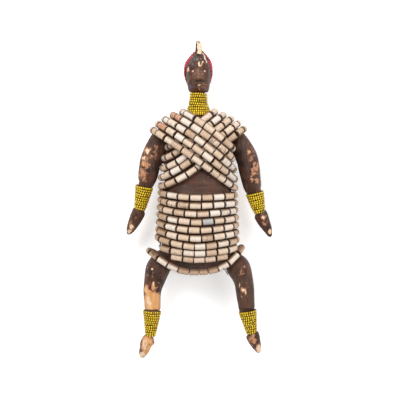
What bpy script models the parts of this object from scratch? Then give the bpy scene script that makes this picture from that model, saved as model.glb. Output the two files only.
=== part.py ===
# A carved wooden doll lying on its back, dressed in strands of long beads.
# Metres, +Z up. The face looks up, the head points to +Y and the feet to -Y.
# Left and right are those of someone who looks at the doll's face.

import math

import bmesh
import bpy
from mathutils import Matrix, Vector

# Driving dimensions
DOLL_LENGTH = 0.325
BEAD_PITCH = 0.0111
BEAD_DIAMETER = 0.0070
SEED_BEAD = 0.0024
THREAD_DIAMETER = 0.0010
EYE_DIAMETER = 0.0028
GAP = 0.0003
STAND_OFF = 0.00065

# The carving keeps its proportions: its sizes are in parts, and the doll is 319 parts long
PARTS_LONG = 319
PART = DOLL_LENGTH / PARTS_LONG

# Bead strands: sides of a bead, how far its corners stand out, and its radius at the joints
BEAD_SIDES = 5
CORNER_REACH = 1.08
WAIST_SHARE = 0.82
THREAD_STEP = 0.0008
CARVED_TILT = 0.36

BEAD_RADIUS = BEAD_DIAMETER / 2
BEAD_WIDTH = CORNER_REACH * BEAD_DIAMETER * math.cos(math.pi / 2 / BEAD_SIDES)
THREAD_RADIUS = THREAD_DIAMETER / 2
BEAD_LIFT = CORNER_REACH * BEAD_RADIUS + GAP + STAND_OFF
THREAD_LIFT = THREAD_RADIUS + GAP + STAND_OFF
LAYER = BEAD_DIAMETER + 3 * GAP
ROW_PITCH = BEAD_WIDTH + GAP
WOOD_SIDES = 12

# Trunk and neck: distance from the feet, middle, half width, front, back, squareness.
# The back of the chest is a bead layer shallower, so that both layers of the straps lie level
# with the belt.
BACK = 27.5
CHEST_BACK = BACK - LAYER / PART
TRUNK = (
    (86.0, -1.0, 18.0, 5.0, 6.0, 2.2),
    (90.5, -1.0, 28.0, 9.5, 11.0, 2.3),
    (97.0, -1.0, 32.0, 15.0, 17.0, 2.4),
    (105.0, -1.0, 34.0, 20.5, 22.5, 2.4),
    (114.0, -1.2, 35.2, 25.3, 26.0, 2.4),
    (123.0, -1.3, 35.0, 27.4, BACK, 2.4),
    (145.0, -0.8, 33.6, 27.6, BACK, 2.4),
    (165.0, -0.4, 32.6, 27.0, BACK, 2.4),
    (180.0, -0.3, 32.3, 25.0, 0.4 * BACK + 0.6 * CHEST_BACK, 2.4),
    (192.0, -0.2, 29.8, 22.5, CHEST_BACK, 2.4),
    (203.0, 0.0, 27.4, 21.0, CHEST_BACK, 2.4),
    (211.0, 0.0, 26.2, 20.0, CHEST_BACK + 0.3, 2.3),
    (216.5, 0.0, 28.0, 19.0, CHEST_BACK - 0.6, 2.3),
    (221.0, 0.0, 37.0, 18.0, CHEST_BACK - 2.5, 2.3),
    (226.5, 0.0, 42.2, 17.0, 16.5, 2.3),
    (232.5, 0.0, 37.5, 15.8, 15.0, 2.3),
    (237.0, 0.0, 30.5, 14.2, 13.4, 2.2),
    (241.0, 0.0, 22.0, 12.6, 12.0, 2.1),
    (245.0, 0.0, 12.5, 10.4, 10.2, 2.0),
    (251.0, 0.0, 9.2, 9.0, 9.0, 2.0),
    (258.0, 0.0, 7.2, 7.2, 7.2, 2.0),
    (270.0, 0.0, 6.3, 6.3, 6.3, 2.0),
)

# The armpits and shoulders curve the most, so they get twice as many sections
FINE_FROM = 203.0
FINE_TO = 237.0

# Head: as the trunk, from the jaw to the pointed crown
HEAD = (
    (267.6, 0.3, 8.6, 8.5, 8.0, 2.4),
    (269.3, 0.3, 9.5, 11.3, 8.6, 2.6),
    (270.8, 0.3, 9.9, 12.6, 9.4, 2.7),
    (273.0, 0.3, 10.3, 12.9, 10.6, 2.6),
    (275.0, 0.2, 10.6, 13.0, 11.3, 2.5),
    (277.0, 0.2, 10.9, 13.0, 12.2, 2.4),
    (279.0, 0.1, 11.1, 13.0, 12.6, 2.3),
    (281.0, 0.0, 11.3, 13.0, 13.0, 2.2),
    (284.0, 0.0, 11.6, 13.0, 13.3, 2.2),
    (287.5, 0.0, 11.8, 12.8, 13.5, 2.1),
    (292.0, 0.0, 11.2, 12.5, 13.2, 2.1),
    (296.5, 0.2, 9.6, 11.6, 12.0, 2.1),
    (300.5, 0.4, 7.4, 10.0, 10.0, 2.1),
    (304.0, 0.6, 4.8, 7.6, 7.2, 2.1),
    (306.6, 0.6, 2.6, 5.0, 4.4, 2.1),
)
HEAD_ANGLES = (0, 25, 48, 66, 80, 90, 100, 114, 132, 155, 180, 225, 270, 315)

# Face carving, in parts: middle of the face, eyes, and heights above or below the face
FACE_MIDDLE = 0.4
EYE_SPREAD = 5.6
EYE_LEVEL = 287.5
NOSE_TIP = 281.0
NOSE_HALF_WIDTH = 3.4
NOSE_HEIGHT = 2.6
NOSE_SLOPE = 0.13
NOSE_UNDERSIDE = 0.5
GROOVE_LEVEL = 279.0
LIP_LEVEL = 275.0
CHIN_LEVEL = 270.8

# Half width, half height and height of each mound or hollow of the face, in parts
EYE_SOCKET = (3.6, 4.0, -1.3)
GROOVE = (7.5, 1.9, -1.1)
LIPS = (5.5, 1.9, 0.9)
CHIN = (5.0, 2.2, 0.8)

# Limbs: sideways, distance from the feet, height, radius. The cuffs sit on the three
# points of each wrist and ankle.
LEFT_WRIST = ((-54.1, 173.4, -1.5, 6.1), (-56.4, 161.6, -3.0, 5.3), (-58.8, 149.8, -4.6, 3.3))
RIGHT_WRIST = ((56.4, 167.2, -1.5, 6.3), (59.0, 156.9, -3.0, 5.4), (61.7, 146.5, -4.6, 3.4))
LEFT_ANKLE = ((-46.3, 48.8, -2.0, 6.4), (-47.2, 35.6, -3.4, 4.9), (-48.2, 22.4, -4.8, 2.9))
RIGHT_ANKLE = ((49.2, 48.8, -2.0, 6.2), (51.4, 37.2, -3.4, 5.0), (53.6, 25.6, -4.8, 3.0))
LEFT_ARM = (
    (-29.0, 226.5, 0.5, 7.0),
    (-38.3, 222.0, 0.5, 7.4),
    (-43.7, 212.0, 0.5, 8.8),
    (-46.8, 202.5, 0.3, 9.9),
    (-48.5, 194.0, 0.0, 10.1),
    (-50.9, 183.0, -0.5, 9.2),
    (-52.4, 176.8, -1.2, 7.8),
    *LEFT_WRIST,
    (-59.4, 147.6, -5.0, 5.5),
    (-63.3, 141.4, -6.4, 5.5),
    (-67.8, 131.5, -8.6, 3.9),
    (-71.0, 125.8, -10.4, 1.4),
)
RIGHT_ARM = (
    (29.0, 226.5, 0.5, 7.0),
    (39.0, 222.3, 0.5, 7.6),
    (44.9, 212.0, 0.5, 9.3),
    (48.1, 203.0, 0.3, 10.3),
    (50.4, 193.5, 0.0, 10.4),
    (52.6, 183.2, -0.5, 9.6),
    (54.6, 171.6, -1.2, 8.1),
    *RIGHT_WRIST,
    (62.6, 144.6, -5.0, 5.6),
    (65.6, 138.6, -6.4, 5.3),
    (69.6, 130.5, -8.6, 4.0),
    (73.0, 123.4, -10.4, 1.4),
)
LEFT_LEG = (
    (-28.5, 106.0, 0.0, 8.0),
    (-35.2, 99.5, 0.0, 10.2),
    (-39.7, 91.5, 0.0, 11.9),
    (-43.6, 79.0, -0.4, 10.3),
    (-45.8, 67.5, -0.8, 8.7),
    (-46.2, 57.0, -1.4, 8.0),
    (-46.2, 50.6, -1.8, 7.8),
    *LEFT_ANKLE,
    (-49.5, 18.4, -5.2, 5.7),
    (-52.2, 15.8, -6.2, 5.6),
    (-54.4, 9.0, -7.8, 4.8),
    (-56.2, 4.2, -9.0, 3.6),
    (-56.5, 0.7, -10.0, 1.5),
)
RIGHT_LEG = (
    (25.0, 106.0, 0.0, 7.5),
    (33.0, 99.4, 0.0, 9.4),
    (38.9, 93.0, 0.0, 11.7),
    (44.4, 80.0, -0.4, 10.0),
    (47.1, 67.0, -0.8, 8.8),
    (48.1, 56.5, -1.4, 8.0),
    (48.7, 50.6, -1.8, 7.7),
    *RIGHT_ANKLE,
    (54.4, 23.0, -5.2, 5.6),
    (56.8, 17.5, -6.4, 5.1),
    (59.4, 10.9, -8.0, 3.8),
    (61.0, 5.8, -9.0, 1.5),
)
CREST = (
    (0.5, 302.0, 2.6, 3.7),
    (0.4, 307.0, 2.4, 3.5),
    (0.4, 312.0, 2.0, 3.3),
    (0.3, 316.0, 1.7, 2.7),
    (0.2, 318.6, 1.5, 1.5),
)

# Belt: levels at the two sides and at the back, in parts. In front each strand sags.
LOWEST_LEFT = 123.0
LOWEST_RIGHT = 120.0
LOWEST_BACK = 123.4
FRONT_SAG = 4.0
FRONT_SAG_GROWTH = 0.68
FULL_STRANDS = 7
SHORT_STRANDS = 2
SHORT_FRONT_STEP = 6.9
SHORT_BACK_STEP = 9.6
SHORT_REACH = (33.0, 24.0)
SHORT_BACK_REACH = (24.0, 18.0)
SHORT_THREAD_HEIGHT = 4.0
SHORT_THREAD_CLIMB = 5.0
ROUND_SAG = 1.5
STEEP_SAG = (0.6, 0.43)

# Straps, five strands each: the curve that the middle strand follows on the chest, from the
# shoulder by a bend to the other side, in parts, and how loosely the strands lie side by side
STRANDS_IN_STRAP = 5
STRAP_A = ((-38.0, 243.5), (7.0, 218.5), (37.0, 189.6))
STRAP_B = ((36.0, 243.0), (-19.0, 199.0), (-37.0, 189.7))
STRAP_PITCH = 1.06 * ROW_PITCH / PART
SIDE_SQUEEZE = 0.10
STRAP_HALF_DEPTH = 30.0
CLIMB_LENGTH = 0.0135
SIDE_CLEARANCE = 8.0

# Loose strand across the hips: middle, half width, half depths, squareness, levels, in parts
HIP_MIDDLE = -2.8
HIP_HALF_WIDTH = 46.2
HIP_FRONT_DEPTH = 20.5
HIP_BACK_DEPTH = 24.0
HIP_SQUARENESS = 3.0
HIP_SIDE_LEVEL = 110.6
HIP_SIDE_TILT = 1.8
HIP_BACK_LEVEL = 92.0
HIP_DIP = 4.0

# How far the loose strand hangs clear of the lowest belt strand: in the middle, and at that
# strand's left and right ends
HIP_MIDDLE_CLEARANCE = 0.0041
HIP_END_CLEARANCE = (0.0021, 0.0028)

# Seed bead cuffs and collar
CUFF_SIDES = 8
CUFF_RIDGES = 4
RIDGE_SHARE = 0.25
COLLAR_TOP = 266.6
COLLAR_BOTTOM = 249.5

# Head strands: where they cross the head's axis, how steeply they lean back above and below
# that place, and how far they climb up the foot of the crest
HEAD_STRAND_MIDDLE = (0.2, 288.0)
CROWN_SLOPE = 0.3
NAPE_SLOPE = 0.75
CROWN_FOOT = 303.0
CROWN_CLIMB = 3.0

# The lowest beads of the belt and the straps lie flat, this much closer to the wood
PRESS = 0.0005
FLOOR = BACK * PART + BEAD_LIFT - PRESS

STEPS_ROUND = 180


def at(sideways, along, height):
    return Vector((sideways, along - PARTS_LONG / 2, height)) * PART


def station(stations, along):
    """The row of a table at this distance from the feet, on a smooth curve through the table."""
    last = len(stations) - 1
    k = 0
    while k < last - 1 and along > stations[k + 1][0]:
        k += 1
    low, high = stations[k], stations[k + 1]
    before, after = stations[max(k - 1, 0)], stations[min(k + 2, last)]
    span = high[0] - low[0]
    share = min(max((along - low[0]) / span, 0.0), 1.0)
    row = [along]
    for item in range(1, len(low)):
        rise_low = span * (high[item] - before[item]) / (high[0] - before[0])
        rise_high = span * (after[item] - low[item]) / (after[0] - low[0])
        start = (1 + 2 * share) * (1 - share) ** 2 * low[item]
        start += share * (1 - share) ** 2 * rise_low
        end = share ** 2 * (3 - 2 * share) * high[item]
        end -= share ** 2 * (1 - share) * rise_high
        row.append(start + end)
    return row


def excess(stations, point):
    """Below zero inside the lofted body, above zero outside. The point is in parts."""
    _, middle, half_width, front, back, squareness = station(stations, point.y)
    depth = front if point.z > 0 else back
    across = abs(point.x - middle) / half_width
    down = abs(point.z) / depth
    return across ** squareness + down ** squareness - 1


def surface_point(stations, origin, direction):
    """Where a line from inside the body leaves it, in parts."""
    inside, outside = 0.0, 80.0
    for _ in range(40):
        reach = (inside + outside) / 2
        if excess(stations, origin + direction * reach) < 0:
            inside = reach
        else:
            outside = reach
    return origin + direction * inside


def outward(stations, point):
    """The direction straight out of the body at a point of its surface."""
    step = 0.05
    slopes = []
    for axis in (Vector((step, 0, 0)), Vector((0, step, 0)), Vector((0, 0, step))):
        slopes.append(excess(stations, point + axis) - excess(stations, point - axis))
    return Vector(slopes).normalized()


def new_material(name, colour, roughness, metallic=0.0):
    material = bpy.data.materials.new(name)
    material.use_nodes = True
    shader = material.node_tree.nodes["Principled BSDF"]
    shader.inputs["Base Color"].default_value = (*colour, 1)
    shader.inputs["Roughness"].default_value = roughness
    shader.inputs["Metallic"].default_value = metallic
    return material


def new_object(name, mesh, material, collection):
    obj = bpy.data.objects.new(name, mesh)
    collection.objects.link(obj)
    if material:
        obj.data.materials.append(material)
    return obj


def loft(name, rings, closed=False):
    """A mesh skinned over rings of equally many points, capped at its ends or joined to itself."""
    body = bmesh.new()
    corners = [[body.verts.new(point) for point in ring] for ring in rings]
    sides = len(corners[0])
    pairs = list(zip(corners, corners[1:]))
    if closed:
        pairs.append((corners[-1], corners[0]))
    for ring, following in pairs:
        for k in range(sides):
            after = (k + 1) % sides
            body.faces.new((ring[k], ring[after], following[after], following[k]))
    if not closed:
        body.faces.new(list(reversed(corners[0])))
        body.faces.new(corners[-1])
    bmesh.ops.recalc_face_normals(body, faces=body.faces)
    mesh = bpy.data.meshes.new(name)
    body.to_mesh(mesh)
    body.free()
    return mesh


def section(row, angles):
    """One ring of a lofted body, as points in metres."""
    along, middle, half_width, front, back, squareness = row
    points = []
    for angle in angles:
        c, s = math.cos(angle), math.sin(angle)
        depth = front if s > 0 else back
        sideways = middle + half_width * math.copysign(abs(c) ** (2 / squareness), c)
        height = depth * math.copysign(abs(s) ** (2 / squareness), s)
        points.append(at(sideways, along, height))
    return points


def mound(distance, half_width):
    """A smooth bump, 1 in the middle and 0 from half_width on."""
    share = min(abs(distance) / half_width, 1.0)
    return (1 + math.cos(math.pi * share)) / 2


def face_relief(sideways, along):
    """How far the carving of the face stands out at this place, in parts."""
    off = sideways - FACE_MIDDLE
    relief = 0.0
    if along > NOSE_TIP - NOSE_UNDERSIDE:
        height = NOSE_HEIGHT - NOSE_SLOPE * (along - NOSE_TIP)
        relief += max(0.0, height) * mound(off, NOSE_HALF_WIDTH)
    forms = (
        (abs(off) - EYE_SPREAD, EYE_LEVEL, EYE_SOCKET),
        (off, GROOVE_LEVEL, GROOVE),
        (off, LIP_LEVEL, LIPS),
        (off, CHIN_LEVEL, CHIN),
    )
    for across, level, (half_width, half_height, height) in forms:
        relief += height * mound(across, half_width) * mound(along - level, half_height)
    return relief


def trunk_mesh():
    turn = 2 * math.pi / WOOD_SIDES
    angles = [k * turn for k in range(WOOD_SIDES)]
    rings = []
    for row, following in zip(TRUNK, TRUNK[1:]):
        rings.append(section(row, angles))
        if FINE_FROM <= row[0] < FINE_TO:
            rings.append(section(station(TRUNK, (row[0] + following[0]) / 2), angles))
    rings.append(section(TRUNK[-1], angles))
    return loft("trunk", rings)


def head_mesh():
    angles = [math.radians(angle) for angle in HEAD_ANGLES]
    rings = []
    for row in HEAD:
        ring = section(row, angles)
        for point, angle in zip(ring, angles):
            facing = max(0.0, math.sin(angle)) ** 2
            point.z += facing * face_relief(point.x / PART, row[0]) * PART
        rings.append(ring)
    return loft("head", rings)


def tapered_rod(name, stations, resolution):
    """A curve object with a radius at each point, made into a closed mesh."""
    curve = bpy.data.curves.new(name, "CURVE")
    curve.dimensions = "3D"
    curve.bevel_depth = PART
    curve.bevel_resolution = resolution
    curve.use_fill_caps = True
    spline = curve.splines.new("POLY")
    spline.points.add(len(stations) - 1)
    for point, (sideways, along, height, radius) in zip(spline.points, stations):
        point.co = (*at(sideways, along, height), 1)
        point.radius = radius
    rod = bpy.data.objects.new(name, curve)
    bpy.context.scene.collection.objects.link(rod)
    graph = bpy.context.evaluated_depsgraph_get()
    mesh = bpy.data.meshes.new_from_object(rod.evaluated_get(graph))
    bpy.data.objects.remove(rod)
    body = bmesh.new()
    body.from_mesh(mesh)
    bmesh.ops.remove_doubles(body, verts=body.verts, dist=1e-6)
    bmesh.ops.recalc_face_normals(body, faces=body.faces)
    body.to_mesh(mesh)
    body.free()
    return mesh


def helper(name, mesh, helpers):
    """An object that a Boolean joins or cuts with, left out of the model."""
    obj = new_object(name, mesh, None, helpers)
    obj.hide_render = True
    obj.display_type = "WIRE"
    return obj


def apply_boolean(obj, other, operation):
    modifier = obj.modifiers.new(other.name, "BOOLEAN")
    modifier.operation = operation
    modifier.solver = "EXACT"
    modifier.object = other


def eye_place(side):
    """The middle of an eye on the face."""
    sideways = FACE_MIDDLE + side * EYE_SPREAD
    origin = Vector((sideways, EYE_LEVEL, 0))
    point = surface_point(HEAD, origin, Vector((0, 0, 1)))
    point.z += face_relief(sideways, EYE_LEVEL)
    return at(*point)


def socket_mesh(name):
    body = bmesh.new()
    radius = EYE_DIAMETER / 2 + GAP
    bmesh.ops.create_cone(
        body, cap_ends=True, segments=8, radius1=radius, radius2=radius, depth=EYE_DIAMETER + 2 * GAP
    )
    mesh = bpy.data.meshes.new(name)
    body.to_mesh(mesh)
    body.free()
    return mesh


def wooden_figure(material, collection, helpers):
    figure = new_object("wooden_figure", trunk_mesh(), material, collection)
    shapes = {
        "head": head_mesh(),
        "crest": tapered_rod("crest", CREST, 2),
        "left_arm": tapered_rod("left_arm", LEFT_ARM, 2),
        "right_arm": tapered_rod("right_arm", RIGHT_ARM, 2),
        "left_leg": tapered_rod("left_leg", LEFT_LEG, 2),
        "right_leg": tapered_rod("right_leg", RIGHT_LEG, 2),
    }
    for name, mesh in shapes.items():
        apply_boolean(figure, helper(name, mesh, helpers), "UNION")
    for name, side in (("left_socket", -1), ("right_socket", 1)):
        socket = helper(name, socket_mesh(name), helpers)
        socket.location = eye_place(side)
        apply_boolean(figure, socket, "DIFFERENCE")
    return figure


def eye_stud(name, side, material, collection):
    body = bmesh.new()
    bmesh.ops.create_uvsphere(body, u_segments=8, v_segments=4, radius=EYE_DIAMETER / 2)
    mesh = bpy.data.meshes.new(name)
    body.to_mesh(mesh)
    body.free()
    mesh.shade_smooth()
    stud = new_object(name, mesh, material, collection)
    stud.location = eye_place(side)
    return stud


class Line:
    """A closed line in metres with the outward direction at each point, read by distance."""

    def __init__(self, points, normals):
        self.points = points
        self.normals = normals
        self.distances = [0.0]
        for k, point in enumerate(points):
            following = points[(k + 1) % len(points)]
            self.distances.append(self.distances[-1] + (following - point).length)
        self.length = self.distances[-1]

    def read(self, distance):
        distance %= self.length
        low, high = 0, len(self.points)
        while high - low > 1:
            middle = (low + high) // 2
            if self.distances[middle] <= distance:
                low = middle
            else:
                high = middle
        after = (low + 1) % len(self.points)
        share = (distance - self.distances[low]) / (self.distances[low + 1] - self.distances[low])
        point = self.points[low].lerp(self.points[after], share)
        normal = self.normals[low].lerp(self.normals[after], share)
        return point, normal.normalized()


def lay_on_body(stations, route, lift):
    """A line round a lofted body. The route gives a start inside the body, a direction, and the
    direction in which the next strand lies, which this one isn't pushed towards."""
    points, normals = [], []
    for k in range(STEPS_ROUND):
        origin, direction, across = route(2 * math.pi * k / STEPS_ROUND)
        foot = surface_point(stations, origin, direction)
        straight_out = outward(stations, foot)
        normal = (straight_out - across * straight_out.dot(across)).normalized()
        point = at(*foot) + normal * lift(foot) / max(normal.dot(straight_out), 0.6)
        if point.z < -FLOOR:
            point.z = -FLOOR
            normal = Vector((0, 0, -1))
        points.append(point)
        normals.append(normal)
    return Line(points, normals)


def bead_ring(line, distance, radius):
    """The corners of a bead at this distance, with one flat side facing out."""
    point, normal = line.read(distance)
    step = 0.0005
    heading = (line.read(distance + step)[0] - line.read(distance - step)[0]).normalized()
    side = heading.cross(normal).normalized()
    out = side.cross(heading).normalized()
    corners = []
    for k in range(BEAD_SIDES):
        angle = 2 * math.pi * (k + 0.5) / BEAD_SIDES
        reach = CORNER_REACH * radius
        corners.append(point + (out * math.cos(angle) + side * math.sin(angle)) * reach)
    return corners


def strand(name, line, pitch, radius, start, carved, threaded):
    """Beads fused into one closed ring. carved and threaded tell which beads stand out from
    their joints and which places hold only the thread, by their middle and outward direction."""
    count = max(3, round(line.length / pitch))
    spacing = line.length / count
    kinds = []
    for k in range(count):
        point, normal = line.read((start + k + 0.5) * spacing)
        bare = threaded(point, normal)
        kinds.append("thread" if bare else "carved" if carved(point, normal) else "plain")
    rings = []
    for k in range(count):
        joint = (start + k) * spacing
        before, after = kinds[k - 1], kinds[k]
        if before == after == "thread":
            rings.append(bead_ring(line, joint, THREAD_RADIUS))
        elif "thread" in (before, after):
            radii = (radius, THREAD_RADIUS) if after == "thread" else (THREAD_RADIUS, radius)
            rings.append(bead_ring(line, joint - THREAD_STEP / 2, radii[0]))
            rings.append(bead_ring(line, joint + THREAD_STEP / 2, radii[1]))
        else:
            share = WAIST_SHARE if "carved" in (before, after) else 1
            rings.append(bead_ring(line, joint, radius * share))
        if after == "carved":
            rings.append(bead_ring(line, joint + spacing / 2, radius))
    return loft(name, rings, closed=True)


def faces_front(_, normal):
    return normal.z > CARVED_TILT


def never(_, __):
    return False


def belt_line(levels, sag_power, lift):
    """A strand round the waist at its levels at the left, right, front and back."""
    left, right, front, back = levels

    def route(angle):
        c, s = math.cos(angle), math.sin(angle)
        side = (left + right) / 2 + c * (right - left) / 2
        level = side + (front - side) * max(s, 0) ** sag_power
        level += (back - side) * max(-s, 0) ** sag_power
        middle = station(TRUNK, level)[1]
        return Vector((middle, level, 0)), Vector((c, 0, s)), Vector((0, 1, 0))

    return lay_on_body(TRUNK, route, lift)


def bead_lift(_):
    return BEAD_LIFT


def short_lift(foot):
    """The lift of a short strand, whose bare thread runs close to the wood at the sides."""
    share = (abs(foot.z) - SHORT_THREAD_HEIGHT) / SHORT_THREAD_CLIMB
    share = min(max(share, 0.0), 1.0)
    return THREAD_LIFT + (BEAD_LIFT - THREAD_LIFT) * share


def row_step(k):
    """How far the k-th strand from the bottom of the belt is above the lowest full one."""
    return k * ROW_PITCH / PART


def belt_front(k):
    sag = FRONT_SAG + FRONT_SAG_GROWTH * (FULL_STRANDS - 1 - k)
    return (LOWEST_LEFT + LOWEST_RIGHT) / 2 + row_step(k) - sag


def short_front(k):
    """The front level of a short strand, counted down from the full ones."""
    return belt_front(0) - (k + 1) * SHORT_FRONT_STEP


def belt_strands(material, collection):
    for k in range(FULL_STRANDS):
        rise = row_step(k)
        levels = (LOWEST_LEFT + rise, LOWEST_RIGHT + rise, belt_front(k), LOWEST_BACK + rise)
        line = belt_line(levels, ROUND_SAG, bead_lift)
        name = f"belt_strand_{FULL_STRANDS - k}"
        mesh = strand(name, line, BEAD_PITCH, BEAD_RADIUS, k % 2 / 2, faces_front, never)
        new_object(name, mesh, material, collection)
    thread_room = (BEAD_WIDTH / 2 + THREAD_RADIUS + GAP) / PART
    for k in range(SHORT_STRANDS):
        room = thread_room + k * (THREAD_DIAMETER + 4 * GAP) / PART
        front = short_front(k)
        back = LOWEST_BACK - SHORT_BACK_STEP - row_step(k)
        levels = (LOWEST_LEFT - room, LOWEST_RIGHT - room, front, back)
        line = belt_line(levels, STEEP_SAG[k], short_lift)
        reach, back_reach = SHORT_REACH[k], SHORT_BACK_REACH[k]

        def threaded(point, normal, reach=reach, back_reach=back_reach):
            return abs(point.x) > (reach if normal.z > 0 else back_reach) * PART

        name = f"belt_strand_{FULL_STRANDS + k + 1}"
        mesh = strand(name, line, BEAD_PITCH, BEAD_RADIUS, k / 2, faces_front, threaded)
        new_object(name, mesh, material, collection)


class Strap:
    """Parallel strands over one shoulder and under the other arm."""

    def __init__(self, curve):
        self.curve = [Vector((*point, 0)) for point in curve]

    def middle(self, share):
        """A point of the middle strand as seen from the front, and the direction across it."""
        shoulder, bend, side = self.curve
        first, second = shoulder.lerp(bend, share), bend.lerp(side, share)
        heading = (second - first).normalized()
        across = Vector((-heading.y, heading.x, 0))
        return first.lerp(second, share), across if across.y > 0 else -across

    def distance(self, point):
        """How far a point is from the middle strand, seen from the front, in parts."""
        spot = Vector((point.x, point.y, 0))
        return min((self.middle(k / 40)[0] - spot).length for k in range(41))

    def line(self, k, lift):
        """The line of strand k, counted from the neck."""
        offset = ((STRANDS_IN_STRAP - 1) / 2 - k) * STRAP_PITCH

        def place(share):
            point, across = self.middle(share)
            return point + across * offset * (1 - SIDE_SQUEEZE * share ** 4), across

        def route(angle):
            c, s = math.cos(angle), math.sin(angle)
            origin = place(0.5)[0]
            point, across = place((1 + c) / 2)
            direction = point - origin + Vector((0, 0, STRAP_HALF_DEPTH * s))
            return origin, direction.normalized(), across

        return lay_on_body(TRUNK, route, lift)


def over_lift(under):
    """The lift of a strand that climbs over another strap where it crosses it."""
    flat = ((STRANDS_IN_STRAP - 1) * STRAP_PITCH + LAYER / PART) / 2
    ramp = CLIMB_LENGTH / PART

    def lift(foot):
        share = min(max((under.distance(foot) - flat) / ramp, 0.0), 1.0)
        off_the_side = min(max(abs(foot.z) / SIDE_CLEARANCE - 0.5, 0.0), 1.0)
        return BEAD_LIFT + off_the_side * LAYER * (1 + math.cos(math.pi * share)) / 2

    return lift


def shoulder_strands(material, collection):
    strap_a, strap_b = Strap(STRAP_A), Strap(STRAP_B)
    covered = (STRANDS_IN_STRAP / 2 - 0.4) * STRAP_PITCH

    def uncovered(point, normal):
        spot = Vector((point.x / PART, point.y / PART + PARTS_LONG / 2, 0))
        return normal.z > CARVED_TILT and strap_a.distance(spot) > covered

    for k in range(STRANDS_IN_STRAP):
        name = f"shoulder_strand_a{k + 1}"
        line = strap_a.line(k, over_lift(strap_b))
        mesh = strand(name, line, BEAD_PITCH, BEAD_RADIUS, k % 2 / 2, faces_front, never)
        new_object(name, mesh, material, collection)
        name = f"shoulder_strand_b{k + 1}"
        line = strap_b.line(k, bead_lift)
        mesh = strand(name, line, BEAD_PITCH, BEAD_RADIUS, k % 2 / 2, uncovered, never)
        new_object(name, mesh, material, collection)


def hip_level(across, front):
    """The level of the loose strand, which drops to its front or back level by a curve that
    passes below the ends of the lowest belt strand."""
    last = SHORT_STRANDS - 1
    end = math.copysign(SHORT_REACH[last], across)
    end_across = (end - HIP_MIDDLE) / HIP_HALF_WIDTH
    end_side = HIP_SIDE_LEVEL + HIP_SIDE_TILT * end_across
    belt_side = (LOWEST_LEFT + LOWEST_RIGHT) / 2
    width = station(TRUNK, short_front(last))[2]
    rise = 1 - (1 - (SHORT_REACH[last] / width) ** 2) ** (STEEP_SAG[last] / 2)
    belt_end = short_front(last) + (belt_side - short_front(last)) * rise
    clearance = HIP_END_CLEARANCE[0 if across < 0 else 1]
    end_level = belt_end - (BEAD_WIDTH + clearance) / PART
    hip_front = short_front(last) - (BEAD_WIDTH + HIP_MIDDLE_CLEARANCE) / PART
    end_share = (end_side - end_level) / (end_side - hip_front)
    sharpness = math.log(1 - end_share) / math.log(abs(end_across))
    share = 1 - abs(across) ** sharpness
    side = HIP_SIDE_LEVEL + HIP_SIDE_TILT * across
    level = hip_front if front else HIP_BACK_LEVEL
    return side + (level - side) * share, share


def hip_strand(material, collection):
    points, normals = [], []
    power = 2 / HIP_SQUARENESS
    for k in range(STEPS_ROUND):
        angle = 2 * math.pi * k / STEPS_ROUND
        c, s = math.cos(angle), math.sin(angle)
        across = math.copysign(abs(c) ** power, c)
        depth = HIP_FRONT_DEPTH if s > 0 else HIP_BACK_DEPTH
        height = depth * math.copysign(abs(s) ** power, s)
        along, middle_share = hip_level(across, s > 0)
        height -= math.copysign(HIP_DIP * max(0.0, middle_share - 0.4), s)
        points.append(at(HIP_MIDDLE + HIP_HALF_WIDTH * across, along, height))
        normals.append(Vector((c, -0.3 * s * s, s)).normalized())
    line = Line(points, normals)
    mesh = strand("hip_strand", line, BEAD_PITCH, BEAD_RADIUS, 0.0, faces_front, never)
    new_object("hip_strand", mesh, material, collection)


def ridged_sleeve(name, start, end, radii, material, collection):
    """Rows of small beads wrapped round a straight stretch, as one turned ring with ridges.
    radii are the wood's radii at the start, the middle and the end."""
    axis = end - start
    length = axis.length

    def wood_radius(share):
        low, middle, high = radii
        return low + share * (4 * middle - 3 * low - high) + 2 * share ** 2 * (low + high - 2 * middle)

    spread = 1 / math.cos(math.pi / CUFF_SIDES)
    profile = []
    inner_steps = 3
    for k in range(inner_steps + 1):
        share = k / inner_steps
        profile.append(((wood_radius(share) + GAP) * spread, share * length))
    outer_steps = 2 * CUFF_RIDGES
    for k in range(outer_steps, -1, -1):
        share = k / outer_steps
        wall = SEED_BEAD * (1 if k % 2 else 1 - RIDGE_SHARE)
        profile.append(((wood_radius(share) + GAP) * spread + wall, share * length))
    mesh = bpy.data.meshes.new(name)
    corners = [(radius, 0, height) for radius, height in profile]
    edges = [(k, (k + 1) % len(corners)) for k in range(len(corners))]
    mesh.from_pydata(corners, edges, [])
    sleeve = new_object(name, mesh, material, collection)
    turn = sleeve.modifiers.new("turned", "SCREW")
    turn.steps = CUFF_SIDES
    turn.render_steps = CUFF_SIDES
    turn.use_merge_vertices = True
    turn.merge_threshold = 0.00001
    turn.use_smooth_shade = True
    sleeve.location = start
    sleeve.rotation_mode = "QUATERNION"
    sleeve.rotation_quaternion = axis.to_track_quat("Z", "Y")
    return sleeve


def cuffs(material, collection):
    wraps = {
        "left_wrist_cuff": LEFT_WRIST,
        "right_wrist_cuff": RIGHT_WRIST,
        "left_ankle_cuff": LEFT_ANKLE,
        "right_ankle_cuff": RIGHT_ANKLE,
    }
    for name, (top, middle, bottom) in wraps.items():
        radii = [bottom[3] * PART, middle[3] * PART, top[3] * PART]
        ridged_sleeve(name, at(*bottom[:3]), at(*top[:3]), radii, material, collection)


def neck_collar(material, collection):
    levels = (COLLAR_BOTTOM, (COLLAR_BOTTOM + COLLAR_TOP) / 2, COLLAR_TOP)
    rows = [station(TRUNK, level) for level in levels]
    radii = [max(row[2], row[3]) * PART for row in rows]
    start, end = at(rows[0][1], COLLAR_BOTTOM, 0), at(rows[2][1], COLLAR_TOP, 0)
    ridged_sleeve("neck_collar", start, end, radii, material, collection)


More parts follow.
